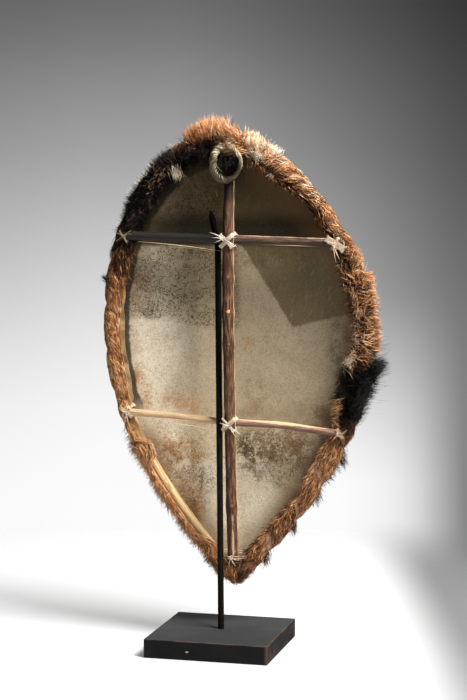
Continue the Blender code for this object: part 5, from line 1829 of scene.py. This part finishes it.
    def build(self, name: str, finish: Material) -> None:
        """Copies the strand along every kept path, as one piece."""
        path, side = np.concatenate(self.paths), np.concatenate(self.sides)
        width, tone = np.concatenate(self.widths), np.concatenate(self.tones)
        up = unit(np.cross(side, np.gradient(path, axis=1)))
        ring = np.rint(self.points[:, 2] * (self.RINGS - 1)).astype(int)
        flat_x, flat_y = (self.points[:, i, None] * size * width[:, None, None] for i, size in ((0, 1.0), (1, 0.7)))
        places = path[:, ring] + side[:, ring] * flat_x + up[:, ring] * flat_y
        count, each = places.shape[:2]
        corners = np.concatenate([np.array(face) for face in self.faces])
        sizes = np.array([len(face) for face in self.faces])
        mesh = bpy.data.meshes.new(name)
        mesh.vertices.add(count * each)
        mesh.vertices.foreach_set("co", HANGING.world(places.reshape(-1, 3)).astype(np.float32).ravel())
        all_corners = (corners[None] + (np.arange(count) * each)[:, None]).ravel()
        all_sizes = np.tile(sizes, count)
        mesh.loops.add(len(all_corners))
        mesh.loops.foreach_set("vertex_index", all_corners.astype(np.int32))
        mesh.polygons.add(len(all_sizes))
        starts = np.concatenate([[0], np.cumsum(all_sizes)[:-1]])
        mesh.polygons.foreach_set("loop_start", starts.astype(np.int32))
        layer = mesh.uv_layers.new(name="UVMap")
        numbers = np.stack([np.repeat(tone, len(corners)), np.tile(self.points[corners, 2], count)], axis=1)
        layer.data.foreach_set("uv", numbers.astype(np.float32).ravel())
        mesh.update(calc_edges=True)
        mesh.shade_smooth()
        piece = bpy.data.objects.new(name, mesh)
        bpy.context.scene.collection.objects.link(piece)
        dress(piece, finish, "hair_on_hide")


@dataclass
class Binding:
    """The hairy binding: the strip's skin, and its hair in seven stretches.

    The stretches are given on a rim that is stated_full long, and are scaled to the rim's own length.
    """

    strip: Strip
    stated_full: float = 1.93
    end_room: float = 0.01
    stretches: tuple[tuple[str, float, float, int], ...] = (
        ("hair_lower_right", -0.01, 0.245, 6400),
        ("hair_right", 0.245, 0.500, 6800),
        ("hair_upper_right", 0.500, 0.780, 7000),
        ("hair_crown", 0.780, 1.060, 7600),
        ("hair_upper_left", 1.060, 1.330, 6600),
        ("hair_left", 1.330, 1.600, 6600),
        ("hair_lower_left", 1.600, 1.960, 6400),
    )

    def build(self) -> None:
        """Makes the skin and the hair."""
        finish = HairFinish().made()
        fleeces = []
        share = RIM.full / self.stated_full
        for i, (name, start, end, count) in enumerate(self.stretches):
            fleece = Fleece(self.strip, 40 + i)
            fleece.lay(start * share, min(end * share, RIM.full - self.end_room * share), count)
            fleeces.append((name, start * share, end * share, fleece))
        for tuft in TUFTS:
            length = RIM.nearest(tuft.place)
            for _, start, end, fleece in fleeces:
                if start <= length < end:
                    fleece.tuft(tuft)
        self.skin(fleeces[0][3])
        for name, _, _, fleece in fleeces:
            fleece.build(name, finish)

    def skin(self, fleece: Fleece) -> None:
        """The strip's skin, closed round its own thickness."""
        strip = self.strip
        outer = strip.skin
        inner = (strip.skin - strip.normal * strip.wall)[:, ::-1]
        places = np.concatenate([outer, inner, outer[:, :1]], axis=1)
        places[-1] = places[0]
        length = np.broadcast_to(strip.lengths[:, None], outer.shape[:2])
        share = np.broadcast_to(strip.shares[None], outer.shape[:2])
        tone = fleece.tone(length.ravel(), share.ravel()).reshape(length.shape)
        phase = strip.phase(length, share)
        wide = np.where(fleece.pinched(length.ravel()).reshape(length.shape), 0.038, 0.0)
        seam = 1 - smooth(np.minimum(phase, 1 - phase), 0.015 + wide, 0.05 + wide)
        height = RIM.height(length)
        tan_edge = (length > RIM.crown_length) * smooth(height, 0.52, 0.43)
        above_tie = smooth(height, 0.25, 0.28)
        seamed = (length < RIM.crown_length) * smooth(height, 0.27, 0.24) * 0.92 + 0.08
        edge = 1 - smooth(share, -1.0 + 0.12 * above_tie, -0.86 + 0.18 * above_tie)
        bare = np.maximum(edge * tan_edge, seam * seamed)
        pair = np.stack([tone, bare], axis=-1)
        under = np.stack([tone, tan_edge], axis=-1)[:, ::-1]
        uv = np.concatenate([pair, under, pair[:, :1]], axis=1)
        piece = laid("binding_skin", HANGING.world(places), uv)
        dress(piece, HairySkinFinish().made(), "hair_on_hide", "rim_binding")


# Thongs


@dataclass
class Thong:
    """Rawhide thong, and the ways it is wound and knotted."""

    radius: float = 0.0012
    slack: float = 0.0004
    flatness: float = 0.75

    def turns(
        self,
        middle: np.ndarray,
        angle: float,
        back: Pair,
        front: Pair,
        count: float,
        pitch: float,
    ) -> np.ndarray:
        """A winding round two crossing sticks, as a path in the shield's frame.

        Args:
            middle: Where the sticks cross.
            angle: The winding's direction in the shield's plane.
            back: Half of what the stick at the back spans along it, and the depth of its outer side.
            front: The same for the stick at the front.
            count: How many turns.
            pitch: The step from one turn to the next.

        Returns:
            The path.
        """
        steps = int(count * 36)
        turn = np.linspace(0, math.tau * count, steps) + 0.4
        along = np.array((math.cos(angle), 0, math.sin(angle)))
        beside = np.array((-math.sin(angle), 0, math.cos(angle)))
        reach = self.slack + self.radius
        toward_back = (np.sin(turn) + 1) / 2
        half = blend(front[0], back[0], smooth(toward_back, 0.1, 0.9))
        sideways = np.clip(np.cos(turn) * 1.5, -1, 1) * half + reach * np.cos(turn)
        middle_depth, half_depth = (back[1] + front[1]) / 2, (back[1] - front[1]) / 2
        depth = middle_depth + np.clip(np.sin(turn) * 1.7, -1, 1) * half_depth + reach * np.sin(turn)
        drift = (turn / math.tau - count / 2) * pitch
        flat = np.array((middle[0], 0, middle[2])) + along * sideways[:, None] + beside * drift[:, None]
        flat[:, 1] = depth
        return flat

    def crossed(
        self,
        name: str,
        middle: np.ndarray,
        back: Triple,
        front: Triple,
        turns: Pair,
        ease: float,
        pitch: float,
        stagger: Pair = (0.0, 0.0),
    ) -> list[Piece]:
        """Two crossed windings round two crossing sticks.

        Args:
            name: What the pieces' names begin with.
            middle: Where the sticks cross.
            back: Half the width of the stick at the back, its angle, and the depth of its outer side.
            front: The same for the stick at the front.
            turns: How many turns each winding has.
            ease: The room of a winding at each side.
            pitch: The step from one turn to the next.
            stagger: How much further out the second winding lies, at the back and at the front.

        Returns:
            A piece for each winding.
        """
        low, high = sorted((back[1] % math.pi, front[1] % math.pi))
        pieces = []
        for i, turned in enumerate((0.0, math.pi / 2)):
            angle = (low + high) / 2 + turned
            behind, before = (stick[0] / abs(math.sin(angle - stick[1])) + ease for stick in (back, front))
            sides = (behind, back[2] + i * stagger[0]), (before, front[2] - i * stagger[1])
            path = self.turns(middle, angle, *sides, turns[i], pitch)
            pieces.append(self.strip(f"{name} turns {i}", path))
        return pieces

    def strip(self, name: str, path: np.ndarray, scale: float = 1.0) -> Piece:
        """A length of thong along a path in the shield's frame, uneven in width."""
        width = self.radius * scale * (1 + 0.16 * lumps(path, 260, 3))
        return swept(name, HANGING.world(path), width, 8, self.flatness)

    def tail(self, name: str, start: np.ndarray, end: Pair, droop: float) -> Piece:
        """A loose end that springs from a knot, thinning to its tip."""
        tip = start + np.array((end[0], -0.001, end[1]))
        middle = start + np.array((end[0] * 0.55, -0.003, end[1] * 0.55 + droop))
        path = curved([start, middle, tip], 22)
        thin = blend(1.0, 0.35, smooth(np.linspace(0, 1, 22), 0.55, 1.0))
        return swept(name, HANGING.world(path), self.radius * thin, 8, self.flatness)

    def knot(self, name: str, at: np.ndarray, radius: float, tilt: float = 0.5) -> Piece:
        """A thong knotted on itself: a small closed knot of one strip."""
        turn = np.linspace(0, math.tau, 61)
        x = np.sin(turn) + 2 * np.sin(2 * turn)
        z = np.cos(turn) - 2 * np.cos(2 * turn)
        y = -np.sin(3 * turn)
        size = radius / 3.4
        cos, sin = math.cos(tilt), math.sin(tilt)
        flat = np.stack([x * cos - z * sin, y * 0.9, x * sin + z * cos], axis=1)
        path = at + flat * size
        path[-1] = path[0]
        return swept(name, HANGING.world(path), self.radius * 1.05, 8, 0.8, closed=True)


@dataclass
class Lashing:
    """A tie of two crossed windings round two sticks, with its knot and loose ends."""

    name: str
    node: str
    middle: np.ndarray
    back: Triple
    front: Triple
    turns: Pair
    ease: float
    knot_shift: Pair
    tails: tuple[Triple, ...]
    thong: Thong = field(default_factory=Thong)
    knot_radius: float = 0.0040
    stagger: Pair = (0.0006, 0.0009)

    def build(self, finish: Material) -> None:
        """Makes the tie."""
        sticks = self.back, self.front
        pitch = self.thong.radius * 2.1
        pieces = self.thong.crossed(self.name, self.middle, *sticks, self.turns, self.ease, pitch, self.stagger)
        depth = self.front[2] - self.thong.slack - self.knot_radius * 0.8
        at = np.array((self.middle[0] + self.knot_shift[0], depth, self.middle[2] + self.knot_shift[1]))
        pieces.append(self.thong.knot(f"{self.name} knot", at, self.knot_radius))
        for i, (across, up, droop) in enumerate(self.tails):
            pieces.append(self.thong.tail(f"{self.name} end {i}", at, (across, up), droop))
        dress(joined(self.name, pieces), finish, "thong", self.node)


@dataclass
class Lashings:
    """Every tie of the shield but the carrying loop's."""

    hoop_ease: float = 0.0006
    hoop_inward: float = 0.0004
    cross_ease: float = 0.0003
    foot_steps: int = 40
    foot_turns: float = 2.0
    foot_rise: float = 0.0070

    def build(self) -> None:
        """Makes the ties."""
        self.crossings(ThongFinish("cream thong").made())
        self.bar_ends(ThongFinish("hoop thong", (0.68, 0.52, 0.35), (0.36, 0.20, 0.10)).made())
        self.foot(ThongFinish("foot thong", (0.70, 0.56, 0.40), (0.36, 0.22, 0.12)).made())

    def crossings(self, finish: Material) -> None:
        """The ties where the upright passes over each bar."""
        upper = (-0.021, 0.010, 0.002), (-0.018, 0.002, 0.001), (0.022, -0.012, 0.001), (0.020, 0.002, 0.002)
        lower = (0.018, -0.012, 0.001), (0.016, 0.013, 0.001), (0.010, -0.016, 0.0), (-0.016, 0.006, 0.001)
        plans = (
            (UPPER_BAR, (3.6, 4.4), (-0.004, 0.004), (*upper, (-0.014, -0.006, 0.0))),
            (LOWER_BAR, (2.6, 4.4), (0.003, -0.002), lower),
        )
        for bar, turns, shift, tails in plans:
            Lashing(
                bar.name.replace("bar", "cross_tie"),
                bar.node.replace("crossbar", "cross_lashing"),
                bar.middle(),
                (bar.radius, bar.tilt, bar.depth() + bar.radius),
                (UPRIGHT.width / 2, UPRIGHT.tilt(), UPRIGHT.front(bar.height, UPRIGHT.width)),
                turns,
                self.cross_ease,
                shift,
                tails,
                Thong(0.00085),
            ).build(finish)

    def bar_ends(self, finish: Material) -> None:
        """The ties where each end of each bar lies on the hoop."""
        dull = ThongFinish("dull thong", (0.34, 0.25, 0.14), (0.12, 0.07, 0.035)).made()
        upper_left = (0.014, 0.005, 0.001), (-0.012, 0.006, 0.001), (0.006, -0.012, 0.0)
        upper_right = (0.010, -0.024, 0.0), (0.004, -0.028, 0.0), (-0.012, 0.006, 0.001)
        lower_left = (-0.004, -0.026, 0.0), (0.004, -0.020, 0.0), (-0.010, 0.006, 0.0)
        lower_right = (-0.010, -0.010, 0.0), (0.012, 0.004, 0.0)
        plans = (
            (UPPER_BAR, Side.LEFT, (2.4, 1.4), 0.0005, upper_left, dull),
            (UPPER_BAR, Side.RIGHT, (6.6, 3.4), 0.0008, upper_right, finish),
            (LOWER_BAR, Side.LEFT, (4.4, 4.4), 0.0008, lower_left, finish),
            (LOWER_BAR, Side.RIGHT, (4.4, 1.4), 0.0007, lower_right, finish),
        )
        for bar, side, turns, radius, tails, look in plans:
            end, length = bar.end(side)
            outward = RIM.outward(length)
            node = bar.name.replace("_bar", f"_{side.name.lower()}_lashing")
            Lashing(
                node.replace("lashing", "tie"),
                node,
                end - outward * self.hoop_inward,
                (HOOP_RADIUS, math.atan2(outward[0], -outward[2]), HOOP_RADIUS),
                (bar.radius, bar.tilt, bar.depth() - bar.radius),
                turns,
                self.hoop_ease,
                (-side.value * 0.0021, 0.0),
                tails,
                Thong(radius),
            ).build(look)

    def foot(self, finish: Material) -> None:
        """The winding round the upright's foot and both legs of the hoop."""
        thong = Thong(0.0007)
        reach = thong.slack + thong.radius
        half = UPRIGHT.width / 2 + reach
        path = []
        for turn in np.linspace(0, self.foot_turns, int(self.foot_steps * self.foot_turns)):
            height = FOOT_TIE_HEIGHT + (turn / self.foot_turns - 0.5) * self.foot_rise
            front = UPRIGHT.front(height, 0.003) - reach
            right, left = (
                RIM.point(RIM.length_at(side, height))[0] + side.value * HOOP_RADIUS / math.sin(angle)
                for side, angle in ((Side.RIGHT, RIM.foot_angle[0]), (Side.LEFT, RIM.foot_angle[1]))
            )
            middle = float(UPRIGHT.across(height))
            side = HOOP_RADIUS
            line = (
                (middle - half * 0.7, front),
                (middle + half * 0.7, front),
                (middle + half, front + 0.003),
                (right, -(side + reach)),
                (right + reach, -side * 0.6),
                (right + reach, side * 0.6),
                (right, side + reach),
                (left, side + reach),
                (left - reach, side * 0.6),
                (left - reach, -side * 0.6),
                (left, -(side + reach)),
                (middle - half, front + 0.003),
                (middle - half * 0.7, front),
            )
            lengths = measured(np.array(line))
            path.append((*traced((turn % 1) * lengths[-1], lengths, np.array(line)), height))
        route = np.array(path)
        for _ in range(2):
            route[1:-1] = route[1:-1] * 0.5 + route[:-2] * 0.25 + route[2:] * 0.25
        pieces = [thong.strip("foot winding", route)]
        depth = UPRIGHT.front(FOOT_TIE_HEIGHT, 0.007) - 0.0037
        at = np.array((float(UPRIGHT.across(FOOT_TIE_HEIGHT)), depth, FOOT_TIE_HEIGHT))
        pieces.append(thong.knot("foot knot", at, 0.004))
        for i, end in enumerate(((0.009, 0.012), (0.008, -0.014), (-0.004, -0.016), (0.013, -0.004))):
            pieces.append(thong.tail(f"foot end {i}", at, end, 0.0))
        dress(joined("foot_tie", pieces), finish, "thong", "foot_lashing")


@dataclass
class CarryingLoop:
    """A ring of twisted hide strips on the upright's top, tied round it and the hoop's crown."""

    width: float = 0.055
    height: float = 0.062
    thin: float = 0.0035
    thick: float = 0.0070
    below_crown: float = 0.032
    aside: float = -0.003
    binding_proud: float = 0.0151
    strands: int = 6
    twist: int = 5
    seat_gap: float = 0.0007

    def build(self) -> None:
        """Makes the ring, its knot and its ties."""
        length = RIM.over_crown(UPRIGHT.top_aside)
        at, outward = RIM.point(length), RIM.outward(length)
        hoop_angle = math.atan2(outward[0], -outward[2])
        thong = Thong()
        front = UPRIGHT.front(float(at[2]), 0.014)
        on_hoop, on_top = (HOOP_RADIUS, hoop_angle, HOOP_RADIUS), (UPRIGHT.top_width / 2, UPRIGHT.tilt(), front)
        pieces = thong.crossed("crown", at - outward * 0.0013, on_hoop, on_top, (2.6, 2.6), 0.0018, 0.0023)
        bulk = (self.thin + self.thick) / 2
        rise = self.height / 2 - bulk
        middle_height = RIM.crown[1] - self.below_crown
        below = UPRIGHT.front(middle_height - rise, 2 * bulk) - bulk - self.seat_gap
        above = min(front, -self.binding_proud) - bulk - self.seat_gap
        middle = np.array((at[0] + self.aside, (below + above) / 2, middle_height))
        slope = (above - below) / 2 / rise
        turn = np.linspace(0, math.tau, 121)
        bundle = blend(self.thin, self.thick, (1 - np.cos(turn)) / 2)
        up = rise * np.sin(turn)
        sideways = (self.width / 2 - bundle) * np.cos(turn)
        centre = middle + np.stack([sideways, up * slope, up], axis=1)
        outwards = unit(np.stack([np.cos(turn), np.zeros_like(turn), np.sin(turn)], axis=1))
        for k in range(self.strands):
            phase = turn * self.twist + math.tau * k / self.strands
            offset = bundle * (0.64 + 0.12 * math.sin(k * 1.7))
            path = centre + outwards * (np.cos(phase) * offset)[:, None] + DEPTH * (np.sin(phase) * offset)[:, None]
            path[-1] = path[0]
            radius = bundle * (0.36 + 0.12 * math.sin(k * 2.4))
            pieces.append(swept(f"strip {k}", HANGING.world(path), radius, 10, 0.55, closed=True, start=k * 7.3))
        reach = (front - 0.0005 - above) / 2
        knot_height = (float(at[2]) + middle_height + rise) / 2
        pieces.append(thong.knot("crown knot", np.array((at[0], above + reach, knot_height)), max(reach, 0.004)))
        hanging = (
            ((-0.024, -0.026, 0.668), (-0.020, -0.027, 0.655), (-0.008, -0.029, 0.648), (0.004, -0.030, 0.651)),
            ((-0.004, -0.027, 0.650), (-0.008, -0.027, 0.640), (-0.006, -0.026, 0.628)),
            ((-0.010, -0.030, 0.690), (-0.004, -0.031, 0.676), (0.004, -0.030, 0.666)),
        )
        for i, route in enumerate(hanging):
            pieces.append(thong.strip(f"hanging strip {i}", curved(route, 26), 1.1 - 0.2 * i))
        # The ring's lower half carries painted shade.
        finish = ThongFinish("twisted hide", (0.66, 0.55, 0.34), (0.075, 0.050, 0.022), 0.34, 0.682).made()
        dress(joined("twisted_loop", pieces), finish, "thong", "carrying_loop")


# Stage


@dataclass
class Studio:
    """A pale floor with painted shade at its right that fades into a soft backdrop, a hard key light from the right and
    a light from behind.
    """

    key_towards: Triple = (0.580, -0.310, 0.745)
    key_distance: float = 3.2
    key_size: float = 1.4
    key_spread: float = math.radians(80)
    key_power: float = 55.0
    key_aim: Triple = (-0.10, 0.05, 0.38)
    over_place: Triple = (-0.5, 1.45, 3.0)
    over_aim: Triple = (-0.45, -0.05, 0.0)
    over_size: float = 2.4
    over_spread: float = math.radians(95)
    over_power: float = 25.0
    floor_tone: float = 0.63
    floor_radius: float = 1.3
    floor_fade: Pair = (0.62, 1.25)
    # Painted shade: the floor's colour darkens over this span to the camera's right, by this share.
    shade_aside: Pair = (0.26, 0.41)
    shade_share: float = 0.72
    camera_place: Triple = (0.787, -2.976, 0.756)
    camera_azimuth: float = math.radians(14.44)
    camera_pitch: float = math.radians(5.12)
    lens: float = 100.0
    sensor: float = 36.0
    upward_glow: Pairs = (
        (-0.300, 0.98), (-0.235, 0.98), (-0.165, 0.973), (-0.140, 0.956), (-0.115, 0.922), (-0.089, 0.831),
        (-0.064, 0.723), (-0.038, 0.597), (-0.012, 0.479), (0.013, 0.371), (0.049, 0.258), (0.069, 0.195),
        (0.087, 0.153), (0.200, 0.10), (0.600, 0.06),
    )
    high_sideways: Pairs = (
        (-0.60, 0.50), (-0.116, 0.89), (-0.073, 0.98), (-0.030, 1.00), (0.0, 0.875), (0.029, 0.70), (0.055, 0.56),
        (0.075, 0.45), (0.091, 0.37), (0.106, 0.29), (0.117, 0.25), (0.40, 0.15),
    )
    low_sideways: Pairs = (
        (-0.60, 0.60), (-0.116, 0.975), (-0.073, 1.0), (0.055, 1.0), (0.075, 0.93), (0.091, 0.78), (0.106, 0.45),
        (0.117, 0.255), (0.40, 0.15),
    )
    low_start: Pair = (-0.060, -0.155)
    unseen_glow: float = 0.15

    def build(self) -> None:
        """Makes the floor, the backdrop, the lights and the camera."""
        self.floor()
        self.backdrop()
        aim = Vector(self.key_aim)
        place = aim + Vector(self.key_towards).normalized() * self.key_distance
        self.lamp("key light", place, aim, self.key_size, self.key_power, self.key_spread)
        over = Vector(self.over_place)
        self.lamp("overhead light", over, Vector(self.over_aim), self.over_size, self.over_power, self.over_spread)
        self.camera()
        bpy.context.scene.view_settings.view_transform = "Standard"

    def floor(self) -> None:
        """The floor, which fades out beyond what the camera sees of it, with painted shade darkening it towards the
        camera's right.
        """
        deselect()
        bpy.ops.mesh.primitive_circle_add(vertices=96, radius=self.floor_radius, fill_type="TRIFAN")
        floor = bpy.context.object
        floor.name = "studio_floor"
        recipe = Recipe("studio floor")
        x, y, _ = recipe.parts(recipe.place())
        from_middle = (x**2 + y**2) ** 0.5
        recipe.give(recipe.shader.inputs["Alpha"], from_middle.rise(self.floor_fade[1], self.floor_fade[0]))
        aside = x * math.cos(self.camera_azimuth) + y * math.sin(self.camera_azimuth)
        # Painted shade: the floor's colour falls off towards the camera's right.
        pale = (1 - aside.rise(*self.shade_aside) * self.shade_share) * self.floor_tone
        floor.data.materials.append(recipe.done(recipe.shaded((1, 1, 1), pale), 0.9, Specular_IOR_Level=0.1))

    def backdrop(self) -> None:
        """The world: as the camera sees it, brighter below and to the left, and dim as a light."""
        world = bpy.data.worlds.new("studio backdrop")
        bpy.context.scene.world = world
        world.use_nodes = True
        sky = Nodes(world.node_tree)
        place = sky.node("ShaderNodeTexCoord").outputs["Generated"]

        def glow(axis: Triple, stops: Pairs) -> Socket:
            """The light at each place along a direction."""
            dot = sky.node("ShaderNodeVectorMath", {"operation": "DOT_PRODUCT"}, {0: place, 1: axis})
            sockets = {0: dot.outputs["Value"], 1: 0.5, 2: 0.5}
            shift = sky.node("ShaderNodeMath", {"operation": "MULTIPLY_ADD"}, sockets)
            marks = [(at / 2 + 0.5, (grey, grey, grey)) for at, grey in stops]
            return sky.node("ShaderNodeValToRGB", {"stops": marks}, {0: shift.outputs[0]}).outputs[0]

        def mixed(kind: str, *values: Socket | float) -> Socket:
            """Two of the world's colours, mixed or multiplied by the share that comes first."""
            settings = {"data_type": "RGBA", "blend_type": kind}
            return sky.node("ShaderNodeMix", settings, dict(zip((0, 6, 7), values))).outputs[2]

        sideways = (math.cos(self.camera_azimuth), math.sin(self.camera_azimuth), 0)
        high, low = glow(sideways, self.high_sideways), glow(sideways, self.low_sideways)
        lower = glow((0, 0, 1), ((self.low_start[1], 1.0), (self.low_start[0], 0.0)))
        across = mixed("MIX", lower, high, low)
        seen = mixed("MULTIPLY", 1.0, glow((0, 0, 1), self.upward_glow), across)
        camera_ray = sky.node("ShaderNodeLightPath").outputs["Is Camera Ray"]
        strength = sky.node("ShaderNodeMapRange", {}, {"Value": camera_ray, "To Min": self.unseen_glow})
        background = sky.node("ShaderNodeBackground", {}, {"Color": seen, "Strength": strength.outputs[0]})
        sky.node("ShaderNodeOutputWorld", {}, {0: background.outputs[0]})

    def lamp(self, name: str, at: Vector, aim: Vector, size: float, power: float, spread: float) -> None:
        """A square area light that the camera doesn't see."""
        data = bpy.data.lights.new(name, "AREA")
        data.size = size
        data.energy = power
        data.spread = spread
        lamp = bpy.data.objects.new(name, data)
        lamp.location = at
        lamp.rotation_euler = (aim - at).to_track_quat("-Z", "Y").to_euler()
        lamp.visible_camera = False
        bpy.context.scene.collection.objects.link(lamp)

    def camera(self) -> None:
        """The camera at the photograph's angle."""
        data = bpy.data.cameras.new("camera")
        data.lens = self.lens
        data.sensor_width = self.sensor
        camera = bpy.data.objects.new("camera", data)
        camera.location = self.camera_place
        camera.rotation_euler = (math.pi / 2 - self.camera_pitch, 0, self.camera_azimuth)
        bpy.context.scene.collection.objects.link(camera)
        bpy.context.scene.camera = camera


def main() -> None:
    """Builds the whole scene, and logs each piece's face count."""
    logging.basicConfig(level=logging.INFO, format="%(message)s")
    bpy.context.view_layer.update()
    Studio().build()
    Stand().build()
    Hoop().build()
    Hide().build()
    upper = BarFinish("dark bar bark", (0.030, 0.016, 0.011), (0.16, 0.085, 0.048), (0.50, 0.34, 0.19), 0.0, 0.80)
    lower = BarFinish("brown bar bark", (0.19, 0.085, 0.055), (0.42, 0.24, 0.17), (0.74, 0.51, 0.27), 1.0, 0.82)
    UPPER_BAR.build(upper.made(UPPER_BAR.middle(), UPPER_BAR.radius, UPPER_BAR.tilt))
    LOWER_BAR.build(lower.made(LOWER_BAR.middle(), LOWER_BAR.radius, LOWER_BAR.tilt))
    Splinters().build()
    UPRIGHT.build()
    ties = [bar.end(side)[1] for bar in (UPPER_BAR, LOWER_BAR) for side in Side]
    ties.append(RIM.over_crown(UPRIGHT.top_aside))
    ties += [RIM.length_at(side, FOOT_TIE_HEIGHT) for side in Side]
    Binding(Strip(tuple(ties))).build()
    Lashings().build()
    CarryingLoop().build()


if __name__ == "__main__":
    main()
